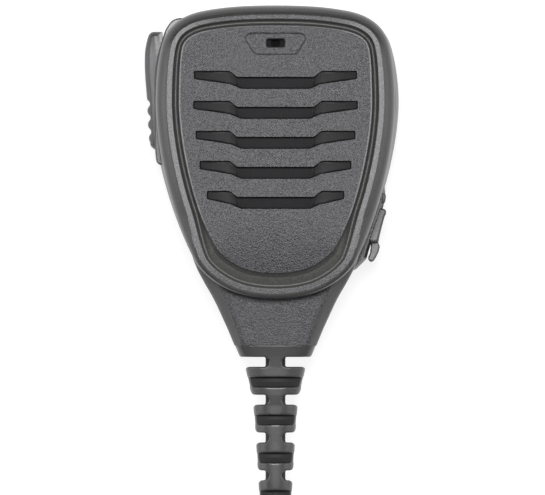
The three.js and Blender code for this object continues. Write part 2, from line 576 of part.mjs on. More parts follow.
// The cord: from inside the neck, through the strain relief, down to the table and into the curly part.
const COIL_A_X = 22;
const COIL_B_X = 5;
const COIL_START_Y = -153;
const COIL_TURN_Y = -236;
const PLUG_X = -17;
const PLUG_Z = 5;

function tube(points, r, steps, sides) {
  const places = points.map(([x, y, z]) => new THREE.Vector3(x, y, z));
  const route = new THREE.CatmullRomCurve3(places, false, 'centripetal');
  const section = new THREE.Shape(Array.from({ length: sides }, (_, i) => {
    const turn = (i / sides) * Math.PI * 2;
    return new THREE.Vector2(r * Math.cos(turn), r * Math.sin(turn));
  }));
  return solid(new THREE.ExtrudeGeometry(section, { steps, bevelEnabled: false, extrudePath: route }));
}

const LEAD_ROUTE = [[0, -24, CORD_Z], [0, -40, CORD_Z], [0, -60, CORD_Z], [0, -80, CORD_Z], [0, -100, CORD_Z],
  [0.3, -107, 25.6], [1.6, -114, 23.4], [4.2, -120.5, 18.9], [7.6, -126.5, 12.9], [11.6, -132.5, 7.6],
  [15.6, -138.5, 4.2], [19, -143.2, 3.9], [21.3, -147.2, 5.4], [COIL_A_X, -150.2, 6.6],
  [COIL_A_X, COIL_START_Y + GAP, COIL_R]];
const TAIL_ROUTE = [[COIL_B_X, COIL_START_Y + GAP, COIL_R], [COIL_B_X, -150.2, 6.7],
  [4.6, -146.6, 5.9], [3.4, -140.4, 3.9], [0, -135.2, 2.3],
  [-6, -132.6, CORD_R + 0.05], [-11.8, -134.8, CORD_R + 0.05], [-15.6, -140, 2.3], [-16.9, -147, 3.6],
  [PLUG_X, -154, 4.8], [PLUG_X, -160.7, PLUG_Z]];
const COIL_ROUTE = [[COIL_A_X, COIL_START_Y], [COIL_A_X, -181], [COIL_A_X, -209], [COIL_A_X, COIL_TURN_Y],
  [19.5, -242.2], [13.5, -244.6], [7.5, -242.2], [COIL_B_X, COIL_TURN_Y], [COIL_B_X, -209], [COIL_B_X, -181],
  [COIL_B_X, COIL_START_Y]].map(([x, y]) => [x, y, COIL_R]);

add('cord_lead', tube(LEAD_ROUTE, CORD_R, 40, 8), blackRubber);
add('curly_cord', tube(COIL_ROUTE, COIL_R, 44, 12), blackRubber);
add('cord_tail', tube(TAIL_ROUTE, CORD_R, 24, 8), blackRubber);
const whiteRoute = [[-0.9, -23.7, 26], [-1.6, -21.8, 25.9], [-2.4, -20.6, 25.3], [-2.5, -20.5, 24.3]];
add('core_white', tube(whiteRoute, 0.5, 8, 6),
  finish(0xd8d6cf, 0.5));
const redRoute = [[0.9, -23.7, 26], [1.2, -21.8, 25.9], [1.4, -20.6, 25.3], [1.4, -20.5, 24.3]];
add('core_red', tube(redRoute, 0.5, 8, 6), redWire);

// Plug: a moulded body with a ribbed relief and two pins of different sizes.
const PLUG_TOP_Y = -172;
const PLUG_FACE_Y = -195;
const PIN_SPACING = 11.5;
function plugBody() {
  const outline = roundedRectangle(10, PLUG_FACE_Y, PLUG_TOP_Y, 3).map(
    (p) => new THREE.Vector2(p.x + PLUG_X, p.y),
  );
  return stack([
    [inset(outline, 1.2), 0],
    [outline, 1.4],
    [outline, 2 * PLUG_Z - 1.4],
    [inset(outline, 1.2), 2 * PLUG_Z],
  ]);
}

function alongY(x, z, y0, y1, r0, r1, sides = 16) {
  const geometry = new THREE.CylinderGeometry(r1, r0, y1 - y0, sides);
  geometry.translate(x, (y0 + y1) / 2, z);
  return solid(geometry);
}

add('plug_body', plugBody(), blackRubber);
add('plug_relief', alongY(PLUG_X, PLUG_Z, -171.7, -161, 4.3, 3.1), blackRubber);
[['plug_pin_large', -PIN_SPACING / 2, 1.75, 14], ['plug_pin_small', PIN_SPACING / 2, 1.25, 11]].forEach(
  ([name, side, r, length]) => {
    const end = PLUG_FACE_Y - GAP - length;
    const shaft = alongY(PLUG_X + side, PLUG_Z, end + r, PLUG_FACE_Y - GAP, r, r);
    add(name, shaft.add(alongY(PLUG_X + side, PLUG_Z, end, end + r + 0.1, r * 0.35, r)), paleMetal);
  });

export default microphone;
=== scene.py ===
"""Speaker microphone of a portable two-way radio, lying on its clip with the grille up.

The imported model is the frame. +X is to the right, +Y towards the top of the microphone and +Z out
of the grille, in metres, with the table at Z = 0.
"""
from math import cos, pi, radians, sin, tau

import bmesh
import bpy
from mathutils import Matrix, Vector, geometry


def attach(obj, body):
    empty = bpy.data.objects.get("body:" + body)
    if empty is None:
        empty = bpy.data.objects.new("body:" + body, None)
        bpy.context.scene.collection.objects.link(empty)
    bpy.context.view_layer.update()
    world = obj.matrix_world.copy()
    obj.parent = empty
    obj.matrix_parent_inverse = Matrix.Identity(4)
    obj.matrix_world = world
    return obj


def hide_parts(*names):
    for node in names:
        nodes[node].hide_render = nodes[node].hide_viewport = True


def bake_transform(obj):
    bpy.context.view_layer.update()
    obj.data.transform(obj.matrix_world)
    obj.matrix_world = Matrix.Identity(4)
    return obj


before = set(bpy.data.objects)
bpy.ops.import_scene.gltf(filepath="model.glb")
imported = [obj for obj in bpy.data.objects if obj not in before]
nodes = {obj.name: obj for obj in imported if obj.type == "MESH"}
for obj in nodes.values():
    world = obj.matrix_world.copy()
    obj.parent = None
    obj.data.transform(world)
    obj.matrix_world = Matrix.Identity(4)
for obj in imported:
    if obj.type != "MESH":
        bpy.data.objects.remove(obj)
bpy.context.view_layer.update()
scene = bpy.context.scene

# Camera: straight above the microphone, far off with a long lens, so that its sides hardly show.
# It takes in the housing, the neck and half of the strain relief.
MM = 0.001
FACE_Z = 42 * MM
VIEW_WIDE = 136.25 * MM
CAMERA_ABOVE = 3.4
SENSOR_WIDE = 36
camera = bpy.data.objects.new("camera", bpy.data.cameras.new("camera"))
camera.location = (-0.75 * MM, -18.25 * MM, FACE_Z + CAMERA_ABOVE)
camera.data.sensor_width = SENSOR_WIDE
camera.data.lens = SENSOR_WIDE * CAMERA_ABOVE / VIEW_WIDE
camera.data.clip_end = 50
scene.collection.objects.link(camera)
scene.camera = camera


class Shade:
    """One output socket of a material's nodes. Arithmetic on it adds Math nodes."""

    def __init__(self, tree, socket=None):
        self.tree = tree
        self.socket = socket

    def node(self, kind, settings=None, values=None, out=0):
        made = self.tree.nodes.new(kind)
        for name, value in (settings or {}).items():
            if name == "stops":
                ramp = made.color_ramp.elements
                while len(ramp) < len(value):
                    ramp.new(0.5)
                for element, (place, tone) in zip(ramp, value):
                    element.position = place
                    element.color = tone if hasattr(tone, "__len__") else (tone, tone, tone, 1)
            else:
                setattr(made, name, value)
        for name, value in (values or {}).items():
            if isinstance(value, Shade):
                self.tree.links.new(value.socket, made.inputs[name])
            else:
                made.inputs[name].default_value = value
        return Shade(self.tree, made.outputs[out])

    def maths(self, operation, first, second=0.0):
        return self.node("ShaderNodeMath", {"operation": operation}, {0: first, 1: second})

    def __add__(self, other):
        return self.maths("ADD", self, other)

    def __sub__(self, other):
        return self.maths("SUBTRACT", self, other)

    def __rsub__(self, other):
        return self.maths("SUBTRACT", other, self)

    def __mul__(self, other):
        return self.maths("MULTIPLY", self, other)

    __radd__ = __add__
    __rmul__ = __mul__

    def mix(self, low, high):
        """The colour that goes from low to high as this value goes from 0 to 1."""
        return self.node("ShaderNodeMix", {"data_type": "RGBA"}, {0: self, 6: low, 7: high}, out=2)

    def step(self, low, high):
        """This value eased from 0 at low to 1 at high."""
        return self.node("ShaderNodeMapRange", {"interpolation_type": "SMOOTHSTEP"},
                         {"Value": self, "From Min": low, "From Max": high})


def new_material(name):
    """A material with one Principled shader: the shader's node, and the object's own coordinates."""
    material = bpy.data.materials.new(name)
    material.use_nodes = True
    tree = material.node_tree
    shader = tree.nodes["Principled BSDF"]
    place = Shade(tree).node("ShaderNodeTexCoord", out=3)
    return material, shader, place


def connect(shader, name, value):
    shader.id_data.links.new(value.socket, shader.inputs[name])


def noise(place, scale, detail=2.0, roughness=0.5, stretch=None):
    """Noise from 0 to 1, scale bumps to the metre; stretch lengthens it along an axis."""
    if stretch:
        place = place.node("ShaderNodeMapping", None, {"Vector": place, "Scale": stretch})
    return place.node("ShaderNodeTexNoise", None, {"Vector": place, "Scale": scale, "Detail": detail,
                                                   "Roughness": roughness})


def bump(shader, height, depth, strength=1.0):
    """Raises the surface by height, which runs from 0 to 1, times depth in metres."""
    made = height.node("ShaderNodeBump", None, {"Height": height, "Distance": depth, "Strength": strength})
    connect(shader, "Normal", made)


# Studio: a white table top, a soft light above the top of the microphone, and two weaker ones low
# down at its sides.
TABLE_HALF = 12
table = bpy.data.objects.new("table_top", bpy.data.meshes.new("table_top"))
table.data.from_pydata([(x, y, -0.0002) for x, y in ((-TABLE_HALF, -TABLE_HALF), (TABLE_HALF, -TABLE_HALF),
                                                     (TABLE_HALF, TABLE_HALF), (-TABLE_HALF, TABLE_HALF))],
                       [], [(0, 1, 2, 3)])
scene.collection.objects.link(table)
table.visible_diffuse = False
white_top, shader, place = new_material("white_table_top")
shader.inputs["Base Color"].default_value = (0.3, 0.3, 0.3, 1)
shader.inputs["Specular IOR Level"].default_value = 0.1
shader.inputs["Emission Color"].default_value = (1, 1, 1, 1)
shader.inputs["Emission Strength"].default_value = 0.8
connect(shader, "Roughness", noise(place, 30) * 0.2 + 0.6)
table.data.materials.append(white_top)


def soft_light(name, where, aim, size, watts):
    light = bpy.data.objects.new(name, bpy.data.lights.new(name, "AREA"))
    light.data.shape = "RECTANGLE"
    light.data.size, light.data.size_y = size
    light.data.energy = watts
    light.location = where
    light.rotation_euler = (Vector(aim) - Vector(where)).to_track_quat("-Z", "Y").to_euler()
    scene.collection.objects.link(light)


soft_light("high_light", (-0.01, 0.11, 0.8), (0, 0, 0.03), (0.2, 0.16), 6.3)
soft_light("left_light", (-0.9, 0.0, 0.35), (0, -0.01, 0.03), (0.5, 0.9), 4.6)
soft_light("right_light", (0.9, 0.0, 0.45), (0, -0.01, 0.03), (0.5, 0.9), 4.0)
scene.world = bpy.data.worlds.new("studio")
scene.world.use_nodes = True
scene.world.node_tree.nodes["Background"].inputs["Color"].default_value = (1, 1, 1, 1)
scene.world.node_tree.nodes["Background"].inputs["Strength"].default_value = 0.06
scene.view_settings.view_transform = "Standard"


# Cord: a round rubber-jacketed cord of three cores. It leaves the strain relief, drops to the table,
# runs into its curly part, which is folded once on itself, and ends in the moulded plug.
CORD_R = 1.9 * MM
CORD_Z = 26 * MM
CURL_TURN_R = 4.9 * MM
CURL_Z = 6.8 * MM
CURL_PITCH = 4.2 * MM
CURL_OPEN_PITCH = 8.6 * MM
CURL_OUT_X = 22 * MM
CURL_BACK_X = 5 * MM
CURL_START_Y = -153 * MM
CURL_FOLD_Y = -236 * MM
lead_route = [(0, -0.024, 0.026), (0, -0.04, 0.026), (0, -0.06, 0.026), (0, -0.08, 0.026), (0, -0.1, 0.026),
              (0.0003, -0.107, 0.0256), (0.0016, -0.114, 0.0234), (0.0042, -0.1205, 0.0189),
              (0.0076, -0.1265, 0.0129), (0.0116, -0.1325, 0.0076), (0.0156, -0.1385, 0.0042),
              (0.019, -0.1432, 0.0039), (0.0213, -0.1472, 0.0054), (0.022, -0.1502, 0.0066),
              (0.022, -0.1527, 0.0068)]
tail_route = [(0.005, -0.1527, 0.0068), (0.005, -0.1502, 0.0067), (0.0046, -0.1466, 0.0059),
              (0.0034, -0.1404, 0.0039), (0, -0.1352, 0.0023), (-0.006, -0.1326, 0.00195),
              (-0.0118, -0.1348, 0.00195), (-0.0156, -0.14, 0.0023), (-0.0169, -0.147, 0.0036),
              (-0.017, -0.154, 0.0048), (-0.017, -0.1607, 0.005)]


def through(points, steps):
    """A smooth line through points, with that many steps between each pair."""
    ends = [points[0], *points, points[-1]]
    line = []
    for before, a, b, after in zip(ends, ends[1:], ends[2:], ends[3:]):
        a, b = Vector(a), Vector(b)
        leave, arrive = (b - Vector(before)) / 2, (Vector(after) - a) / 2
        for i in range(steps):
            t = i / steps
            line.append(a * (2 * t**3 - 3 * t**2 + 1) + leave * (t**3 - 2 * t**2 + t)
                        + b * (3 * t**2 - 2 * t**3) + arrive * (t**3 - t**2))
    return line + [Vector(points[-1])]


def curl():
    """The curly part: a helix about a line that runs out, round a half circle and back."""
    fold_r = (CURL_OUT_X - CURL_BACK_X) / 2
    run = CURL_START_Y - CURL_FOLD_Y
    whole = 2 * run + pi * fold_r
    points, along, turn = [], 0.0, 0.0
    step = tau / 18
    while along < whole:
        if along < run:
            middle, sideways = Vector((CURL_OUT_X, CURL_START_Y - along, CURL_Z)), Vector((1, 0, 0))
        elif along < run + pi * fold_r:
            bend = (along - run) / fold_r
            sideways = Vector((cos(bend), -sin(bend), 0))
            middle = Vector(((CURL_OUT_X + CURL_BACK_X) / 2, CURL_FOLD_Y, CURL_Z)) + sideways * fold_r
        else:
            back = along - run - pi * fold_r
            middle, sideways = Vector((CURL_BACK_X, CURL_FOLD_Y + back, CURL_Z)), Vector((-1, 0, 0))
        swell = min(1, turn / (0.8 * tau), (whole - along) / (0.8 * CURL_PITCH))
        swell = swell * swell * (3 - 2 * swell)
        points.append(middle + CURL_TURN_R * swell * (sideways * cos(turn) + Vector((0, 0, 1)) * sin(turn)))
        from_fold = abs(along - whole / 2) / (pi * fold_r / 2)
        opening = max(0.0, min(1.0, 1.5 - from_fold)) ** 0.5
        along += (CURL_PITCH + (CURL_OPEN_PITCH - CURL_PITCH) * opening) * step / tau
        turn += step
    return points


def round_cord(name, points, radius, body, material):
    """A cord of that radius along points, as a curve, riding on a body."""
    line = bpy.data.curves.new(name, "CURVE")
    line.dimensions = "3D"
    line.bevel_depth = radius
    line.bevel_resolution = 5
    line.use_fill_caps = True
    spline = line.splines.new("POLY")
    spline.points.add(len(points) - 1)
    for point, at in zip(spline.points, points):
        point.co = (*at, 1)
    line.materials.append(material)
    cord = bpy.data.objects.new(name, line)
    scene.collection.objects.link(cord)
    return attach(cord, body)


cord_jacket, shader, place = new_material("cord_jacket")
mottle = noise(place, 900, 4)
connect(shader, "Base Color", mottle.mix((0.03, 0.03, 0.032, 1), (0.055, 0.055, 0.057, 1)))
connect(shader, "Roughness", noise(place, 260) * 0.25 + 0.42)
bump(shader, mottle, 0.03 * MM)

cord_points = through(lead_route, 4)[:-2] + curl() + through(tail_route, 4)[2:]
cord = round_cord("cord", cord_points, CORD_R, "housing", cord_jacket)
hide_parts("cord_lead", "curly_cord", "cord_tail")


# Front cover: injection moulded in dark grey plastic. Its flat faces have a spark-eroded grain and its
# rims are smoother. Four screws driven from the back hold it to the rear cover.
SPLIT_Z = 27 * MM
CLOTH_TOP_Z = 39.5 * MM
OUTLINE_STEPS = 132


def evenly(points, count, closed=True):
    """The same line with that many points, evenly spaced along it."""
    line = [Vector(p) for p in points] + ([Vector(points[0])] if closed else [])
    lengths = [(b - a).length for a, b in zip(line, line[1:])]
    gap = sum(lengths) / (count if closed else count - 1)
    made, start, i = [], 0.0, 0
    for k in range(count):
        while i < len(lengths) - 1 and start + lengths[i] < k * gap:
            start += lengths[i]
            i += 1
        made.append(line[i].lerp(line[i + 1], min(1, (k * gap - start) / lengths[i])))
    return made


def housing_outline(wider=0.0):
    """The housing seen from the front, anticlockwise from the bottom centre: six curves and their mirror."""
    curves = [((0, -31.1), (3, -31.1), (6, -30.75), (9, -29.9)),
              ((9, -29.9), (12.4, -28.9), (17, -26.2), (19.8, -22.4)),
              ((19.8, -22.4), (26, -11.5), (30.1 + wider, 6.5), (30.1 + wider, 18.5)),
              ((30.1 + wider, 18.5), (30.1 + wider, 24.5), (29.3 + wider / 2, 31), (28.2 + wider / 3, 33.9)),
              ((28.2 + wider / 3, 33.9), (26.6, 37.9), (23, 40.2), (18, 41.15)),
              ((18, 41.15), (13, 42.1), (8, 42.5), (0, 42.5))]
    right = []
    for curve in curves:
        knots = [Vector((x * MM, y * MM)) for x, y in curve]
        right += geometry.interpolate_bezier(*knots, 30)[:-1]
    right = evenly(right + [Vector((0, 42.5 * MM))], OUTLINE_STEPS + 1, closed=False)
    return right + [Vector((-p.x, p.y)) for p in right[-2:0:-1]]


def inset(points, distances):
    """A closed outline drawn in by a distance, or by one distance for each point."""
    distances = distances if hasattr(distances, "__len__") else [distances] * len(points)
    made = []
    for i, (point, distance) in enumerate(zip(points, distances)):
        along = (points[(i + 1) % len(points)] - points[i - 1]).normalized()
        made.append(point + Vector((-along.y, along.x)) * distance)
    return made


def at_height(points, z):
    return [Vector((p.x, p.y, z)) for p in points]


def ramp(value, low, high):
    """0 below low, 1 above high, and a straight rise between."""
    return max(0.0, min(1.0, (value - low) / (high - low)))


def ease(value, low, high):
    """0 below low, 1 above high, and a smooth rise between."""
    t = ramp(value, low, high)
    return t * t * (3 - 2 * t)


def band(bm, outer, inner, material=0):
    """Faces between two closed rings of vertices, the second above or inside the first."""
    for i in range(len(outer)):
        j = (i + 1) % len(outer)
        bm.faces.new((outer[i], outer[j], inner[j], inner[i])).material_index = material


def wall(bm, loops, material=0):
    """Faces up a stack of rings of points. Gives back each ring's vertices."""
    rings = [[bm.verts.new(p) for p in loop] for loop in loops]
    for low, high in zip(rings, rings[1:]):
        band(bm, low, high, material)
    return rings


def face_over(bm, rings, material=0):
    """Flat faces over the first ring, facing up, with the other rings as holes in them."""
    edges = [bm.edges.get((ring[i - 1], ring[i])) or bm.edges.new((ring[i - 1], ring[i]))
             for ring in rings for i in range(len(ring))]
    for made in bmesh.ops.triangle_fill(bm, use_beauty=True, edges=edges)["geom"]:
        if isinstance(made, bmesh.types.BMFace):
            made.material_index = material
            made.normal_update()
            if made.normal.z < 0:
                made.normal_flip()


def as_piece(name, bm, body, materials, replaced=(), sharp=38):
    """Makes the mesh an object that rides on a body and stands for the CAD nodes named."""
    mesh = bpy.data.meshes.new(name)
    bm.to_mesh(mesh)
    bm.free()
    mesh.shade_smooth()
    mesh.set_sharp_from_angle(angle=radians(sharp))
    for material in materials:
        mesh.materials.append(material)
    made = bpy.data.objects.new(name, mesh)
    scene.collection.objects.link(made)
    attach(made, body)
    if replaced:
        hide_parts(*replaced)
    return made


def case_finish(name, dark, light, grain, rough):
    """Case plastic: fine grain of that depth, faint cloudy streaks, and a slightly uneven gloss."""
    material, shader, place = new_material(name)
    fine = noise(place, 2900, 2, 0.6)
    coarse = noise(place, 1500, 2)
    cloud = noise(place, 60, 3, stretch=(1, 0.6, 1))
    pits = fine * 0.65 + coarse * 0.35
    tone = pits.step(0.36, 0.66) * 0.7 + cloud * 0.3
    connect(shader, "Base Color", tone.mix((*dark, 1), (*light, 1)))
    connect(shader, "Roughness", rough + (cloud - 0.5) * 0.12 + (fine - 0.5) * 0.2)
    bump(shader, pits, grain)
    return material


grained_case = case_finish("grained_case_plastic", (0.01, 0.01, 0.011), (0.084, 0.083, 0.09), 0.3 * MM, 0.4)
smooth_case = case_finish("smooth_case_plastic", (0.026, 0.026, 0.026), (0.048, 0.048, 0.046),
                          0.03 * MM, 0.36)
# Slot walls and floors: the case plastic coloured near black, as painted shade inside the slots and the
# microphone hole.
slot_shade_case = case_finish("slot_wall_painted_shade_plastic", (0.008, 0.008, 0.009), (0.016, 0.016, 0.017), 0.02 * MM, 0.55)


def dull_as_shade(material, level):
    """Takes most of the shine off a material that sits in a hollow, darkening it there as painted shade."""
    material.node_tree.nodes["Principled BSDF"].inputs["Specular IOR Level"].default_value = level
    return material


dull_as_shade(slot_shade_case, 0.3)
band_case = case_finish("rim_groove_plastic", (0.042, 0.042, 0.041), (0.084, 0.084, 0.08), 0.06 * MM, 0.45)
# Rim crest: grain, with a painted highlight that lightens it towards the left and right sides.
crest_highlight_case, shader, place = new_material("rim_crest_painted_highlight_plastic")
grain = noise(place, 3400, 2, 0.6)
across = place.node("ShaderNodeSeparateXYZ", None, {"Vector": place})
side_highlight = across.maths("ABSOLUTE", across).step(13 * MM, 25 * MM)
crest_highlight_tone = (grain.step(0.3, 0.75) * 0.55 + side_highlight * 0.45).mix((0.02, 0.02, 0.022, 1),
                                                                 (0.23, 0.229, 0.236, 1))
connect(shader, "Base Color", crest_highlight_tone)
connect(shader, "Roughness", 0.42 + (grain - 0.5) * 0.2)
bump(shader, grain, 0.16 * MM)

# The rim's cross-section at the sides, and at the bottom: distance in from the outline, and height.
SIDE_RIM = [(0.5, 27), (0.12, 27.1), (0, 27.4), (0.05, 31), (0.15, 36.5), (0.45, 38.8), (1.0, 40.2),
            (1.7, 41.1), (2.2, 41.55), (2.7, 41.85), (3.2, 42), (3.9, 42), (4.25, 41.85), (4.5, 41.2),
            (4.7, 40.4), (5.1, 40.1), (5.5, 40.4), (5.7, 41.2), (5.85, 41.85), (6.05, 42), (6.3, 42)]
LOW_RIM = [(0.5, 27), (0.12, 27.1), (0, 27.4), (0, 31), (0, 36.5), (0, 39.2), (0.06, 40.4), (0.2, 41.1),
           (0.5, 41.5), (1.0, 41.65), (1.8, 41.75), (2.4, 41.8), (2.65, 41.7), (2.8, 41.1), (2.95, 40.7),
           (3.3, 40.5), (3.8, 40.75), (4.9, 41.25), (6.1, 41.65), (6.35, 41.9), (6.5, 42)]


def rim_loops(outline):
    side, low = (through([(d * MM, z * MM, 0) for d, z in rim], 3) for rim in (SIDE_RIM, LOW_RIM))
    loops = []
    for (d_side, z_side, _), (d_low, z_low, _) in zip(side, low):
        lowness = [ease(-p.y, 10 * MM, 26 * MM) for p in outline]
        topness = [1 - 0.13 * ease(p.y, 20 * MM, 38 * MM) for p in outline]
        ins = [(d_side * (1 - k) + d_low * k) * t for k, t in zip(lowness, topness)]
        loops.append([Vector((p.x, p.y, min(FACE_Z, z_side * (1 - k) + z_low * k)))
                      for p, k in zip(inset(outline, ins), lowness)])
    return loops


def slot_patch(bm, top_y, half):
    """One grille slot: shallow wings with sloping floors, and a lower middle that opens onto the cloth."""
    WALL_WIDE = 0.34 * MM
    OPEN_HALF = 9.9 * MM
    side_x = [half - d * MM for d in (0, 0.07, 0.15, 0.24, 0.36, 0.6)]
    side_x += [12.6 * MM + (side_x[-1] - 12.6 * MM) * k / 4 for k in (3, 2, 1, 0)]
    side_x += [(12.6 - 0.35 * k) * MM for k in range(1, 13)] + [k * MM for k in (7, 5, 3, 1)]
    xs = [-x for x in side_x] + side_x[::-1]
    rows = (0, 0.03, 0.06, 0.1, 0.15, 0.22, 0.33, 0.45, 0.57, 0.69, 0.78, 0.85, 0.9, 0.94, 0.97, 1)
    grid = []
    for x in xs:
        far = abs(x)
        tip = 0.35 * MM * (1 - (max(0, 1 - (half - far) / (0.36 * MM)) ** 2)) ** 0.5
        top = top_y - 1.5 * MM * (1 - ramp(far, 9.6 * MM, 11.5 * MM)) - (0.35 * MM - tip)
        wing = min(1, (half - far) / (half - 12 * MM))
        low = top_y - 2.1 * MM - 1.2 * MM * wing
        low -= 1.25 * MM * (1 - ramp(far, 8.6 * MM, 11.5 * MM)) - (0.35 * MM - tip)
        column = []
        for r in rows:
            y = low + (top - low) * r
            edge = min(top - y, y - low, half - far)
            floor = (1.25 + 0.9 * r) * MM
            open_share = 1 - ease(far, OPEN_HALF - 0.7 * MM, OPEN_HALF)
            deep = floor + (FACE_Z - CLOTH_TOP_Z - 0.05 * MM - floor) * open_share
            column.append(bm.verts.new((x, y, FACE_Z - deep * ease(edge, 0, WALL_WIDE))))
        grid.append(column)
    for left, right in zip(grid, grid[1:]):
        for k in range(len(rows) - 1):
            corners = (left[k], right[k], right[k + 1], left[k + 1])
            if max(v.co.z for v in corners) > CLOTH_TOP_Z + 0.06 * MM:
                # Faces sunk into the slot take material 2, the near-black plastic of painted shade.
                bm.faces.new(corners).material_index = 2
    rim = [c[0] for c in grid] + grid[-1][1:] + [c[-1] for c in grid[-2::-1]] + grid[0][-2:0:-1]
    outside = inset([Vector(v.co[:2]) for v in rim], -0.25 * MM)
    outer = [bm.verts.new(p) for p in at_height(outside, FACE_Z)]
    band(bm, outer, rim)
    return outer


def rounded(corners, radius, steps=4):
    """A closed outline in metres from corners in millimetres, each corner turned on about that radius."""
    made = []
    for i, corner in enumerate(corners):
        around = (corner, corners[i - 1], corners[(i + 1) % len(corners)])
        here, before, after = (Vector(c) * MM for c in around)
        reach = min(radius, (before - here).length * 0.45, (after - here).length * 0.45)
        start, end = here + (before - here).normalized() * reach, here + (after - here).normalized() * reach
        for k in range(steps + 1):
            t = k / steps
            made.append(start * (1 - t) ** 2 + here * 2 * t * (1 - t) + end * t * t)
    return made


def badge_patch(bm):
    """The shallow recess at the top, with the microphone's hole through its floor."""
    recess = rounded([(-5.3, 29.9), (5.3, 29.9), (7.75, 33.9), (7.3, 35.1), (6, 35.5), (-6, 35.5),
                      (-7.3, 35.1), (-7.75, 33.9)], 0.9 * MM)
    hole = rounded([(-2.2, 31.9), (2.3, 31.9), (2.3, 33.9), (-2.2, 33.9)], 0.5 * MM)
    rings = wall(bm, [at_height(inset(recess, d * MM), FACE_Z - z * MM)
                      for d, z in ((-0.3, 0), (-0.06, 0), (0.06, 0.06), (0.2, 0.36), (0.32, 0.45),
                                   (0.6, 0.45))])
    # The hole's walls take material 2, the near-black plastic of painted shade.
    hole_rings = wall(bm, [at_height(inset(hole, d * MM), FACE_Z - z * MM)
                           for d, z in ((-0.3, 0.45), (-0.08, 0.45), (0.03, 0.52), (0.1, 0.7),
                                        (0.12, 2.5))], 2)
    face_over(bm, [rings[-1], hole_rings[0]])
    return rings[0]


NECK_STATIONS = [(-12, 22.6), (-18, 21.6), (-23.1, 19.9), (-27, 17.9), (-31.4, 15.4), (-37.4, 12.6),
                 (-42.5, 10.25)]


def neck_section(y, half, front):
    """The front or the back half of the neck at one place along it, in millimetres."""
    down = (-17.9 - y) / 24.6
    flat_z = 36.6 - 2.6 * down if front else 13 + 5 * down
    middle_z = CORD_Z / MM
    shoulder = middle_z + (0.58 if front else -0.58) * (36.6 - 2.6 * down - middle_z)
    flat_half = half * 0.8 - 0.1
    split = SPLIT_Z / MM - (0 if front else 0.3)
    corners = [(half, split), (half, shoulder), (flat_half, flat_z), (-flat_half, flat_z), (-half, shoulder),
               (-half, split)]
    turned = rounded([(0, split), *corners], 1.1 * MM, 5)[6 + 3:-3]
    droop = 0.4 * MM * ease(-y, 38, 42.5)
    return [Vector((x, y * MM - droop * ease(abs(x), 5 * MM, 9.5 * MM), z)) for x, z in turned]


def neck_half(bm, front, materials):
    stations = through([(y, half, 0) for y, half in NECK_STATIONS], 4)
    sections = [neck_section(y, half, front) for y, half, _ in stations]
    end = [Vector((p.x * 0.97, p.y - 0.02 * MM, CORD_Z + (p.z - CORD_Z) * 0.97)) for p in sections[-1]]
    sections += [end, [Vector((p.x * 0.5, p.y, CORD_Z + (p.z - CORD_Z) * 0.5)) for p in end]]
    rows = [[bm.verts.new(p) for p in section] for section in sections]
    for a, b in zip(rows, rows[1:]):
        for i in range(len(a) - 1):
            corners = (a[i], b[i], b[i + 1], a[i + 1]) if not front else (a[i + 1], b[i + 1], b[i], a[i])
            level = all(abs(v.co.z - corners[0].co.z) < 0.45 * MM for v in corners)
            flat = level and abs(corners[0].co.x) < 18 * MM
            bm.faces.new(corners).material_index = materials[0] if flat else materials[1]


SLOT_TOPS = [(25.95, 20.4), (18.45, 20.6), (10.95, 20.0), (3.45, 19.0), (-4.05, 17.2)]
bm = bmesh.new()
front_outline = housing_outline()
rim = wall(bm, rim_loops(front_outline), 1)
holes = [slot_patch(bm, y * MM, half * MM) for y, half in SLOT_TOPS]
face_over(bm, [rim[-1], *holes, badge_patch(bm)])
for face in bm.faces:
    face.normal_update()
    # Flat crest faces take material 3, with its painted side highlight.
    if face.material_index == 1 and face.normal.z > 0.93 and face.calc_center_median().z > 41.7 * MM:
        face.material_index = 3
    elif face.material_index == 1 and face.calc_center_median().z < 41.4 * MM and face.normal.z > 0:
        middle = face.calc_center_median()
        if min((middle.xy - p).length for p in front_outline) > (2.6 if middle.y < -12 * MM else 3.6) * MM:
            face.material_index = 4
neck_half(bm, True, (0, 1))
front_cover = as_piece("front_cover_moulding", bm, "housing",
                       [grained_case, smooth_case, slot_shade_case, crest_highlight_case, band_case],
                       ["front_cover"])


# Grille cloth: black woven acoustic cloth, cut with rounded corners and glued behind the grille. It keeps
# dust out of the loudspeaker and is all that shows through the middles of the five slots.
CLOTH_HALF = 17.4
CLOTH_Y = (-11.5, 28.5)
THREAD = 0.34 * MM


def finish(material, *names):
    """Gives CAD nodes a material in place of the one they came with."""
    for name in names:
        nodes[name].data.materials.clear()
        nodes[name].data.materials.append(material)


cloth_outline = rounded([(-CLOTH_HALF, CLOTH_Y[0]), (CLOTH_HALF, CLOTH_Y[0]), (CLOTH_HALF, CLOTH_Y[1]),
                         (-CLOTH_HALF, CLOTH_Y[1])], 6 * MM, 8)
bm = bmesh.new()
cloth_rings = wall(bm, [at_height(inset(cloth_outline, d * MM), z * MM)
                        for d, z in ((0.15, 39.1), (0, 39.15), (0, 39.4), (0.15, 39.5))])
for ring in (cloth_rings[0], cloth_rings[-1]):
    bm.faces.new(ring)
bmesh.ops.recalc_face_normals(bm, faces=bm.faces[:])
woven_cloth, shader, place = new_material("woven_grille_cloth")
warp, weft = (place.node("ShaderNodeTexWave", {"bands_direction": way},
                         {"Vector": place, "Scale": 0.314 / THREAD}) for way in "XY")
weave = warp * (1 - weft) + weft * (1 - warp)
lint = noise(place, 700, 3)
cloth_tone = (weave * 0.7 + lint * 0.3).mix((0.007, 0.007, 0.008, 1), (0.026, 0.025, 0.027, 1))
connect(shader, "Base Color", cloth_tone)
connect(shader, "Roughness", lint * 0.2 + 0.7)
bump(shader, weave, 0.08 * MM)
dull_as_shade(woven_cloth, 0.3)
grille_cloth = as_piece("grille_cloth_panel", bm, "housing", [woven_cloth], ["grille_cloth"])


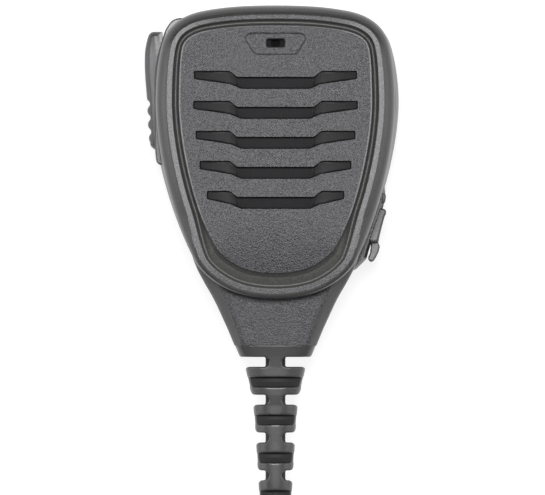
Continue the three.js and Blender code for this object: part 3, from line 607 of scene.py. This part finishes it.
# Housing seal: a thin cord of black rubber in the joint between the two covers, squeezed when the case
# screws are driven home.
def rubber_finish(name, dark, light, rough, speckle=0.02):
    """Soft moulded rubber: an even dull surface with faint mottling and a little dust in its texture."""
    material, shader, place = new_material(name)
    fine = noise(place, 1500, 3)
    broad = noise(place, 130, 2)
    tone = fine * 0.35 + broad * 0.65
    connect(shader, "Base Color", tone.mix((*dark, 1), (*light, 1)))
    connect(shader, "Roughness", rough + (broad - 0.5) * 0.18)
    bump(shader, fine, speckle * MM)
    return material


seal_rubber = rubber_finish("seal_rubber", (0.02, 0.02, 0.021), (0.04, 0.04, 0.041), 0.55)
finish(seal_rubber, "housing_seal")

# Loudspeaker: pressed steel basket with a turned yoke and a ferrite magnet, on a foam gasket. Its film
# cone, copper voice coil and dust cap are one glued moving part.
FOAM_CELL = 0.5 * MM


def metal_finish(name, dark, light, rough, drawn=(1, 1, 1)):
    """Plated or turned metal: faint streaks along the way it was drawn, and patches of duller plate."""
    material, shader, place = new_material(name)
    streaks = noise(place, 1100, 3, 0.6, drawn)
    patches = noise(place, 160, 2)
    shader.inputs["Metallic"].default_value = 1
    connect(shader, "Base Color", (streaks * 0.5 + patches * 0.5).mix((*dark, 1), (*light, 1)))
    connect(shader, "Roughness", rough + (patches - 0.5) * 0.2 + (streaks - 0.5) * 0.1)
    bump(shader, streaks, 0.006 * MM)
    return material


def moulded_finish(name, dark, light, rough, texture, depth):
    """Hard moulded or pressed plastic, with texture of that many marks to the metre and that depth."""
    material, shader, place = new_material(name)
    marks = noise(place, texture, 3)
    connect(shader, "Base Color", marks.mix((*dark, 1), (*light, 1)))
    connect(shader, "Roughness", rough + (marks - 0.5) * 0.15)
    bump(shader, marks, depth)
    return material


zinc_plate = metal_finish("zinc_plate", (0.45, 0.45, 0.46), (0.66, 0.66, 0.66), 0.34)
black_oxide = metal_finish("black_oxide", (0.05, 0.05, 0.054), (0.1, 0.1, 0.104), 0.42)
finish(zinc_plate, "speaker_basket", "magnet_plate")
finish(black_oxide, "speaker_yoke")
ferrite = moulded_finish("magnet_ferrite", (0.04, 0.039, 0.038), (0.08, 0.078, 0.075), 0.5, 1400, 0.03 * MM)
finish(ferrite, "speaker_magnet")
cone_film = moulded_finish("cone_film", (0.03, 0.03, 0.033), (0.06, 0.06, 0.064), 0.36, 420, 0.02 * MM)
finish(cone_film, "speaker_cone", "dust_cap")
open_foam, shader, place = new_material("gasket_foam")
cells = place.node("ShaderNodeTexVoronoi", None, {"Vector": place, "Scale": 1 / FOAM_CELL})
connect(shader, "Base Color", cells.mix((0.015, 0.015, 0.016, 1), (0.05, 0.05, 0.052, 1)))
connect(shader, "Roughness", cells * 0.2 + 0.75)
bump(shader, cells, 0.1 * MM)
finish(open_foam, "speaker_gasket")
coil_wire, shader, place = new_material("voice_coil_wire")
turns = place.node("ShaderNodeTexWave", {"bands_direction": "Z"}, {"Vector": place, "Scale": 1250})
shader.inputs["Metallic"].default_value = 1
connect(shader, "Base Color", turns.mix((0.35, 0.12, 0.05, 1), (0.8, 0.38, 0.2, 1)))
connect(shader, "Roughness", turns * 0.15 + 0.28)
bump(shader, turns, 0.04 * MM)
finish(coil_wire, "voice_coil")

# Microphone: an electret capsule faced with black felt, held by a rubber boot behind its small hole.
# Black felt and rubber, both coloured near black and darker than the other rubbers, as painted shade in the
# hole.
boot_shade_rubber = dull_as_shade(rubber_finish("mic_boot_painted_shade_rubber", (0.006, 0.006, 0.006), (0.014, 0.014, 0.014), 0.7), 0.1)
capsule_felt_and_shade = dull_as_shade(moulded_finish("capsule_felt_and_shade", (0.003, 0.003, 0.003), (0.008, 0.008, 0.008), 0.8,
                                   2400, 0.06 * MM), 0.05)
finish(boot_shade_rubber, "mic_boot")
finish(capsule_felt_and_shade, "mic_capsule")

# Circuit board: green lacquered glass laminate held by three screws, with an amplifier, a capacitor and
# the cord's header soldered on.
PAD_PITCH = 2.54 * MM
board_lacquer, shader, place = new_material("board_lacquer")
tracks = place.node("ShaderNodeTexBrick", {"offset": 0.5, "squash": 0.6},
                    {"Vector": place, "Scale": 1 / PAD_PITCH, "Mortar Size": 0.1, "Mortar Smooth": 0.2,
                     "Color1": (0, 0, 0, 1), "Color2": (0.25, 0.25, 0.25, 1), "Mortar": (1, 1, 1, 1)})
glass = noise(place, 1800, 2, stretch=(1, 0.3, 1))
board_tone = (tracks * 0.7 + glass * 0.3).mix((0.008, 0.075, 0.03, 1), (0.03, 0.2, 0.075, 1))
connect(shader, "Base Color", board_tone)
connect(shader, "Roughness", glass * 0.12 + 0.26)
bump(shader, tracks, 0.03 * MM)
finish(board_lacquer, "circuit_board")
chip_epoxy = moulded_finish("chip_epoxy", (0.018, 0.018, 0.019), (0.035, 0.035, 0.036), 0.5, 2600, 0.015 * MM)
header_nylon = moulded_finish("header_nylon", (0.62, 0.59, 0.5), (0.72, 0.69, 0.6), 0.42, 500, 0.01 * MM)
finish(chip_epoxy, "audio_chip", "talk_switch", "accessory_socket", "cord_clamp")
finish(header_nylon, "cord_header", "switch_plunger")
finish(zinc_plate, "filter_capacitor", "board_screw_1", "board_screw_2", "board_screw_3", "clamp_screw_1",
       "clamp_screw_2")

# Wires: stranded wire in coloured insulation, two from the board to the loudspeaker and two in the cord.
black_wire = rubber_finish("black_insulation", (0.015, 0.015, 0.016), (0.03, 0.03, 0.032), 0.4)
red_wire = rubber_finish("red_insulation", (0.38, 0.03, 0.022), (0.5, 0.045, 0.032), 0.38)
white_wire = rubber_finish("white_insulation", (0.6, 0.59, 0.56), (0.72, 0.71, 0.68), 0.38)
finish(black_wire, "speaker_lead_black")
finish(red_wire, "speaker_lead_red", "core_red")
finish(white_wire, "core_white")


# Rear cover: the other half of the case, moulded in the same plastic. It flares a little wider than the
# front, has the talk button's pocket in its left side, and deep holes for the four case screws.
REAR_WIDER = 0.9
BACK_Z = 12.5 * MM
SOCKET_AT = Vector((24.9, -11.9, 22.5)) * MM
SOCKET_TURN = -0.34
REAR_EDGE = [(5.9, 12.5), (5.4, 12.5), (4.2, 12.62), (3.1, 13), (2.1, 13.6), (1.2, 14.5), (0.55, 15.7),
             (0.15, 17.2), (0, 18.8), (0.12, 20.5), (0.42, 23.5), (0.74, 26), (0.86, 26.55), (1.2, 26.7)]
CASE_SCREWS = [(-20.5, 31.5), (20.5, 31.5), (-13.5, -20), (13.5, -20)]
PIVOT = Vector((0, 8)) * MM


def loose(name, bm):
    """A mesh object to work on before it becomes a piece."""
    mesh = bpy.data.meshes.new(name)
    bmesh.ops.recalc_face_normals(bm, faces=bm.faces[:])
    bm.to_mesh(mesh)
    bm.free()
    made = bpy.data.objects.new(name, mesh)
    scene.collection.objects.link(made)
    return made


def settle(work, **modifiers):
    """Applies modifiers to a loose object: each is a type and its settings."""
    for kind, settings in modifiers.values():
        modifier = work.modifiers.new(kind, kind)
        for name, value in settings.items():
            setattr(modifier, name, value)
    bpy.context.view_layer.update()
    mesh = bpy.data.meshes.new_from_object(work.evaluated_get(bpy.context.evaluated_depsgraph_get()))
    work.modifiers.clear()
    work.data = mesh
    return work


def combine(work, operation, tools):
    """Joins loose objects to one, or cuts them out of it."""
    for tool in tools:
        settle(work, one=("BOOLEAN", {"object": tool, "operation": operation, "solver": "EXACT"}))
        bpy.data.objects.remove(tool)
    return work


def as_mesh(work):
    """A loose object's mesh as a new bmesh; the object is removed."""
    bm = bmesh.new()
    bm.from_mesh(work.data)
    bpy.data.objects.remove(work)
    return bm


def raised(name, outline, edge, axis_to=None):
    """A closed solid: an outline drawn in and lifted along the steps of an edge, given in millimetres."""
    bm = bmesh.new()
    rings = wall(bm, [at_height(inset(outline, d * MM), z * MM) for d, z in edge])
    for ring in (rings[0], rings[-1]):
        bm.faces.new(ring)
    if axis_to:
        bmesh.ops.transform(bm, matrix=axis_to, verts=bm.verts[:])
    return loose(name, bm)


def circle(at, radius, steps=32):
    return [Vector((at[0] + radius * cos(tau * k / steps), at[1] + radius * sin(tau * k / steps)))
            for k in range(steps)]


socket_place = Matrix.Translation(SOCKET_AT) @ Matrix.Rotation(SOCKET_TURN, 4, "Z")
onto_side = socket_place @ Matrix.Rotation(pi / 2, 4, "Y") @ Matrix.Rotation(pi / 2, 4, "Z")
pocket_place = Matrix.Rotation(pi / 2, 4, "Y") @ Matrix.Rotation(pi / 2, 4, "Z")
rear_edge = through([(*e, 0) for e in REAR_EDGE], 3)
rear = raised("rear", housing_outline(REAR_WIDER), [(p.x, p.y) for p in rear_edge])
corner = raised("corner", rounded([(-22, 39.5), (-24.6, 39.4), (-26.1, 38.8), (-27.6, 36.7), (-28.7, 33.4),
                                   (-29.9, 28.6), (-30.4, 24), (-30.4, 8), (-29.9, 2.3), (-26, 2.5),
                                   (-20, 34)], 2.2 * MM, 5),
                [(0.7, 15), (0.35, 15.3), (0.1, 16), (0, 17), (0, 25.8), (0.12, 26.4), (0.4, 26.7)])
pad = raised("pad", rounded([(-4, -14), (-0.7, -13.2), (0.3, -11.2), (1.2, -9.4), (1.0, -7.5), (0.9, 3.5),
                             (0.6, 6), (0.1, 8), (-1.2, 10.5), (-4, 11)], 0.8 * MM, 4),
             [(0.7, -6), (0.3, -5.2), (0, -4.2), (0, 1.2), (0.25, 2.8), (0.75, 4.15)], socket_place)
combine(rear, "UNION", [corner, pad])
pocket = raised("pocket", rounded([(5.95, 16.5), (36.45, 16.5), (36.45, 25), (5.95, 25)], 1.2 * MM),
                [(0, -40), (0, -27)], pocket_place)
seat = raised("seat", rounded([(-5.3, -3.7), (7.7, -3.7), (7.7, 3.7), (-5.3, 3.7)], 0.9 * MM),
              [(0, -1.2), (0, 6)], onto_side)
jack_hole = raised("jack_hole", circle((0, 0), 2.4 * MM), [(0, -4), (0, 4)], onto_side)
screw_holes = [raised("screw_hole", circle((x * MM, y * MM), 2.9 * MM),
                      [(-0.5, 12), (-0.5, 12.45), (0, 12.95), (0, 18.4)]) for x, y in CASE_SCREWS]
insert_hole = raised("insert_hole", circle(PIVOT, 3.9 * MM), [(-0.4, 12), (-0.4, 12.5), (0, 12.9), (0, 17.5)])
combine(rear, "DIFFERENCE", [pocket, seat, jack_hole, insert_hole, *screw_holes])
bm = as_mesh(rear)
for face in bm.faces:
    face.material_index = 0 if face.calc_center_median().z < BACK_Z + 0.3 * MM else 1
neck_half(bm, False, (0, 1))
rear_cover = as_piece("rear_cover_moulding", bm, "housing", [grained_case, smooth_case],
                      ["rear_cover"])


# Talk button: a thumb pad of dark rubbery plastic in the left side, with three grip ribs at its lower
# end. It is held in its pocket by a flange inside the case and springs back from the switch.
pad_edge = [(-30.4, 6.4), (-31.35, 7.3), (-31.8, 9), (-32.05, 12.4), (-32.2, 16.1), (-32.35, 19.4),
            (-32.72, 24), (-32.88, 28), (-32.75, 31.5), (-32.15, 34.4), (-31.7, 35.4), (-30.9, 35.95),
            (-29, 36)]
RIB_PITCH = 3.5
RIB_Y = 14.35
RIB_DEEP = 0.75
pad_line = evenly([(p.x * MM, p.y * MM) for p in through([(*p, 0) for p in pad_edge], 8)], 110, closed=False)


def pad_outline(ribbed):
    """The pad from the front, anticlockwise, with the share of the ribs' depth that shows there."""
    line = []
    for p in pad_line[::-1]:
        y = p.y / MM
        wave = (0.5 + 0.5 * cos(tau * (y - RIB_Y) / RIB_PITCH)) ** 1.6
        notch = wave * ease(y, 7.6, 8.8) * (1 - ease(y, 18.6, 19.4))
        line.append(Vector((p.x + notch * RIB_DEEP * ribbed * MM, p.y)))
    back = [Vector((-28.4, y)) * MM for y in (6.4, 12, 20, 28, 36)]
    return line + back


PAD_EDGE = [(0.9, 17, 0), (0.5, 17.05, 0.2), (0.2, 17.3, 0.6), (0.03, 17.8, 1), (0, 18.6, 1), (0, 22.4, 1),
            (0.06, 23, 0.9), (0.22, 23.6, 0.7), (0.5, 24.1, 0.35), (0.75, 24.4, 0.1), (1.0, 24.55, 0),
            (1.2, 24.6, 0)]
bm = bmesh.new()
edge = [inset(pad_outline(ribbed), [d * MM * ease(-p.x, 28.4 * MM, 30 * MM) for p in pad_outline(0)])
        for d, z, ribbed in PAD_EDGE]
rings = wall(bm, [at_height(loop, z * MM) for loop, (d, z, ribbed) in zip(edge, PAD_EDGE)])
for ring in (rings[0], rings[-1]):
    bm.faces.new(ring)
bmesh.ops.recalc_face_normals(bm, faces=bm.faces[:])
pad_rubber = rubber_finish("pad_rubber", (0.038, 0.038, 0.041), (0.07, 0.069, 0.074), 0.4)
talk_button = as_piece("talk_button_pad", bm, "talk_button", [pad_rubber], ["talk_button"], 50)


# Accessory socket cover: one soft rubber moulding, pushed into the seat over the socket, with a pull tab
# at its lower end. Its upper end stays in the case, and it bends open at a thin strap.
def onto_socket(name, corners, radius, half_wide, soften):
    """A rubber piece with a side outline in the socket's own frame, rounded over at its two flanks."""
    outline = rounded(corners, radius, 5)
    steps = [(soften, -half_wide), (soften * 0.5, -half_wide + soften * 0.13),
             (soften * 0.13, -half_wide + soften * 0.5), (0, -half_wide + soften)]
    return raised(name, outline, steps + [(d, -z) for d, z in steps[::-1]], socket_place)


flap = onto_socket("flap", [(-0.9, -5), (1.4, -5), (2.5, -4.3), (2.15, -1), (1.9, 2.3), (2.05, 3.0),
                            (1.8, 3.7), (1.2, 4.0), (0.4, 3.8), (-0.9, 3.6)], 0.6 * MM, 3.5, 0.4)
tab = onto_socket("tab", [(1, -3.8), (2.3, -3.9), (2.5, -4.7), (3.15, -5.3), (3.3, -6.8), (2.95, -9.1),
                          (2.5, -9.6), (1.6, -9.2), (1.75, -7.6), (1.2, -5.6)], 0.6 * MM, 2.6, 0.5)
peg = raised("peg", circle((0, 0), 1.5 * MM, 24), [(0.3, -1.6), (0, -1.3), (0, 0)], onto_side)
socket_cover = combine(flap, "UNION", [tab, peg])
bm = as_mesh(settle(socket_cover, soft=("REMESH", {"mode": "VOXEL", "voxel_size": 0.16 * MM}),
                    smooth=("SMOOTH", {"iterations": 6, "factor": 0.5})))
socket_cover = as_piece("socket_cover_flap", bm, "socket_cover", [pad_rubber],
                        ["socket_cover"], 80)
root = onto_socket("root", [(-0.9, 5.2), (0.7, 5.2), (0.8, 5.8), (0.55, 7), (0.3, 7.5), (-0.9, 7.5)],
                   0.35 * MM, 3.5, 0.25)
as_piece("socket_cover_root", as_mesh(root), "housing", [pad_rubber], ["socket_cover_anchor"])
strap = onto_socket("strap", [(-0.3, 3.4), (0.55, 3.4), (0.6, 4.5), (0.55, 6.0), (-0.3, 6.0)],
                    0.1 * MM, 3.0, 0.15)
strap = settle(strap, fine=("SUBSURF", {"subdivision_type": "SIMPLE", "levels": 2, "render_levels": 2}))
strap.data.materials.append(pad_rubber)
strap.data.shade_smooth()
strap.name = "socket_cover_strap"
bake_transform(strap)


# Strain relief: soft black rubber moulded on the cord. Five blocks on a thin spine, with slots through
# the sides and grooves across the front and back by turns, so that it bends in a long even curve.
BOOT = [(-42.7, 10.2, 7.9, 5), (-45.6, 9.0, 7.3, 4.2), (-48.2, 7.6, 6.9, 3.4), (-55.3, 6.05, 6.2, 3.1),
        (-57.8, 5.6, 5.8, 2.9), (-64.8, 5.0, 5.3, 2.7), (-67.3, 4.9, 5.1, 2.6), (-76.7, 4.3, 4.5, 2.5),
        (-86.3, 3.8, 3.9, 2.4), (-93.2, 3.6, 3.6, 2.2), (-97.4, 3.2, 3.2, 2.1), (-98.6, 2.9, 2.9, 2),
        (-99, 2.5, 2.5, 2)]
SLOT_STEP = 9.5
SLOT_Y = -45.7
SLOT_WIDE = 2.55
WEB_HALF = 1.55
CORE_R = 2.5
CORD_MIDDLE_Z = CORD_Z / MM


def boot_size(y):
    """The half width and half depth of the relief there, before its slots are cut."""
    for (y0, wide0, deep0, _), (y1, wide1, deep1, _) in zip(BOOT, BOOT[1:]):
        if y1 <= y <= y0:
            t = (y0 - y) / (y0 - y1)
            return wide0 + (wide1 - wide0) * t, deep0 + (deep1 - deep0) * t
    return BOOT[-1][1:3]


def boot_section(y, wide, deep, square, steps=64):
    """A rounded section: an ellipse at square 2, and squarer above that."""
    made = []
    for k in range(steps):
        c, s = cos(tau * k / steps), sin(tau * k / steps)
        reach = (abs(c) ** square + abs(s) ** square) ** (-1 / square)
        made.append(Vector((wide * reach * c * MM, y * MM, (CORD_MIDDLE_Z + deep * reach * s) * MM)))
    return made


def side_slot(side, y, soft_above):
    """A cutter for one side slot: a round inner end, straight edges, and a mouth that opens out."""
    high, low = boot_size(y)[0] * 1.01, boot_size(y - SLOT_WIDE)[0] * 1.01
    half = SLOT_WIDE / 2
    line = [(WEB_HALF + half - half * sin(pi * k / 12), y - half - half * cos(pi * k / 12))
            for k in range(13)]
    line += [(high - soft_above + soft_above * sin(pi / 2 * k / 6),
              y + soft_above - soft_above * cos(pi / 2 * k / 6)) for k in range(7)]
    line += [(high + 3, y + soft_above), (low + 3, y - SLOT_WIDE - 1)]
    line += [(low - 1 + sin(pi / 2 * k / 6), y - SLOT_WIDE - 1 + cos(pi / 2 * k / 6))
             for k in range(6, -1, -1)]
    return raised("side_slot", [Vector((x * side, y)) * MM for x, y in line], [(0, 10), (0, 45)])


def cross_groove(y, side):
    """A cutter for one groove across the front or the back: deep in the middle, running out at the edges."""
    loops = []
    for py, cut in ((y - 5.0, 2.1), (y - 6.2, 1.9), (y - 7.2, 1.3), (y - 7.6, 1.1)):
        wide, deep = boot_size(py)
        floor = [((wide - 0.12) * cos(pi * k / 24), (deep - cut) * sin(pi * k / 24) ** 0.8)
                 for k in range(25)]
        shape = floor + [(-wide - 2, 0), (-wide - 2, deep + 4), (wide + 2, deep + 4), (wide + 2, 0)]
        loops.append([Vector((x * MM, py * MM, (CORD_MIDDLE_Z + side * z) * MM)) for x, z in shape])
    bm = bmesh.new()
    groove_rings = wall(bm, loops)
    for ring in (groove_rings[0], groove_rings[-1]):
        bm.faces.new(ring)
    return loose("cross_groove", bm)


bm = bmesh.new()
boot_rings = wall(bm, [boot_section(*station) for station in BOOT])
for ring in (boot_rings[0], boot_rings[-1]):
    bm.faces.new(ring)
relief = loose("relief", bm)
cutters = []
for k in range(5):
    y = SLOT_Y - SLOT_STEP * k
    cutters += [side_slot(side, y, 0.45 if k == 0 else 0.9) for side in (1, -1)]
    if k < 4:
        cutters += [cross_groove(y, side) for side in (1, -1)]
combine(relief, "DIFFERENCE", cutters)
bm = bmesh.new()
core_rings = wall(bm, [[Vector((CORE_R * MM * cos(tau * k / 40), y * MM,
                                CORD_Z + CORE_R * MM * sin(tau * k / 40)))
                        for k in range(40)] for y in (-43, -98.9)])
for ring in core_rings:
    bm.faces.new(ring)
combine(relief, "UNION", [loose("core", bm)])
settle(relief, soft=("REMESH", {"mode": "VOXEL", "voxel_size": 0.2 * MM}),
       smooth=("SMOOTH", {"iterations": 4, "factor": 0.5}))
bm = as_mesh(relief)
# Faces sunk below the relief's outer surface, in its slots and grooves, take the darker rubber: painted
# shade.
for face in bm.faces:
    middle = face.calc_center_median() / MM
    wide, deep = boot_size(middle.y)
    x_share, z_share = middle.x / (wide - 0.5), (middle.z - CORD_MIDDLE_Z) / (deep - 0.7)
    face.material_index = 1 if abs(x_share) ** 3 + abs(z_share) ** 3 < 1 and middle.y > -98 else 0
relief_rubber = rubber_finish("relief_rubber", (0.036, 0.036, 0.036), (0.064, 0.064, 0.063), 0.36)
# Darker, duller rubber for the slots and grooves: painted shade.
slot_shade_rubber = dull_as_shade(rubber_finish("relief_slot_painted_shade_rubber", (0.012, 0.012, 0.012), (0.026, 0.026, 0.026), 0.6),
                   0.2)
strain_relief = as_piece("strain_relief_boot", bm, "housing", [relief_rubber, slot_shade_rubber],
                         ["strain_relief"], 80)


# Case screws: four black self-tapping screws with cross recesses, driven from the back through deep
# holes in the rear cover into the front cover's bosses.
def screw(name, at, head, shank, body, material, replaced):
    """A pan-head screw standing on Z with its head down: head and shank are (radius, low z, high z)."""
    (head_r, low, high), (shank_r, _, tip) = head, shank
    line = [(0.0, low), (head_r * 0.55, low + 0.03), (head_r * 0.85, low + 0.2), (head_r * 0.98, low + 0.55),
            (head_r, high - 0.15), (head_r - 0.1, high), (shank_r, high), (shank_r, tip - 1),
            (shank_r * 0.4, tip)]
    bm = bmesh.new()
    rings = wall(bm, [at_height(circle(at * MM, max(r, 0.05) * MM), z * MM) for r, z in line])
    for ring in (rings[0], rings[-1]):
        bm.faces.new(ring)
    made = loose(name, bm)
    arm = head_r * 0.62
    for long, wide in ((arm, arm * 0.26), (arm * 0.26, arm)):
        corners = [(at.x + long * sx, at.y + wide * sy) for sx, sy in ((-1, -1), (1, -1), (1, 1), (-1, 1))]
        levels = [(0, low - 1), (0, low + 0.05), (arm * 0.1, low + head_r * 0.45)]
        combine(made, "DIFFERENCE", [raised("recess", [Vector(c) * MM for c in corners], levels)])
    return as_piece(name, as_mesh(made), body, [material], [replaced], 30)


for number, (x, y) in enumerate(CASE_SCREWS, 1):
    screw(f"case_screw_{number}_headed", Vector((x, y)), (2.6, 16, 18.2), (1.2, 18.2, 35), "housing",
          black_oxide, f"case_screw_{number}")

# Clip: a nylon plate that swivels on one screw through the back, and a nylon arm on a steel pin between
# the plate's ears. A wire spring holds the arm's jaw shut against the plate.
SPRING_WIRE = 0.38 * MM
SPRING_COIL_R = 2.0 * MM
SPRING_TURNS = 7
PIN_AT = Vector((0, 15, 5.6)) * MM
clip_nylon = moulded_finish("clip_nylon", (0.032, 0.032, 0.034), (0.06, 0.06, 0.062), 0.46, 1300, 0.05 * MM)
finish(clip_nylon, "clip_plate", "clip_arm")
finish(zinc_plate, "clip_pin", "clip_washer")
brass = metal_finish("insert_brass", (0.55, 0.4, 0.17), (0.72, 0.56, 0.28), 0.3)
finish(brass, "clip_insert")
screw("clip_screw_headed", Vector((0, 8)), (3.9, 7.2, 8.8), (1.5, 8.8, 17), "housing", black_oxide,
      "clip_screw")
spring_line = [(-4.3, 26, 9.35), (-4.3, 20, 9.0), (-4.3, 17, 7.9)]
spring_points = through([Vector(p) * MM for p in spring_line], 6)[:-1]
for k in range(SPRING_TURNS * 20 + 1):
    angle = 0.42 * pi + tau * k / 20
    spring_points.append(Vector(((-4.3 + 8.6 * k / (SPRING_TURNS * 20)) * MM,
                                 PIN_AT.y + SPRING_COIL_R * cos(angle),
                                 PIN_AT.z + SPRING_COIL_R * sin(angle))))
last = spring_points[-1]
spring_points = spring_points[:-1] + through([last, (0.0043, 0.0178, 0.0042), (0.0043, 0.021, 0.0031),
                                              (0.0043, 0.026, 0.0029)], 6)
spring_curve = round_cord("spring_wire", spring_points, SPRING_WIRE, "clip_swivel", zinc_plate)
spring_wire = spring_curve.evaluated_get(bpy.context.evaluated_depsgraph_get())
spring_mesh = bpy.data.meshes.new_from_object(spring_wire)
bpy.data.objects.remove(spring_curve)
clip_spring = bpy.data.objects.new("clip_spring_wire", spring_mesh)
scene.collection.objects.link(clip_spring)
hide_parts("clip_spring")
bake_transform(clip_spring)


# Plug: black rubber moulded over two plated pins of different sizes, with its own short strain relief.
plug_rubber = rubber_finish("plug_rubber", (0.025, 0.025, 0.027), (0.045, 0.045, 0.047), 0.45)
pin_plate = metal_finish("pin_plate", (0.62, 0.6, 0.56), (0.8, 0.78, 0.74), 0.16, (1, 0.15, 1))
finish(plug_rubber, "plug_body", "plug_relief")
finish(pin_plate, "plug_pin_large", "plug_pin_small")
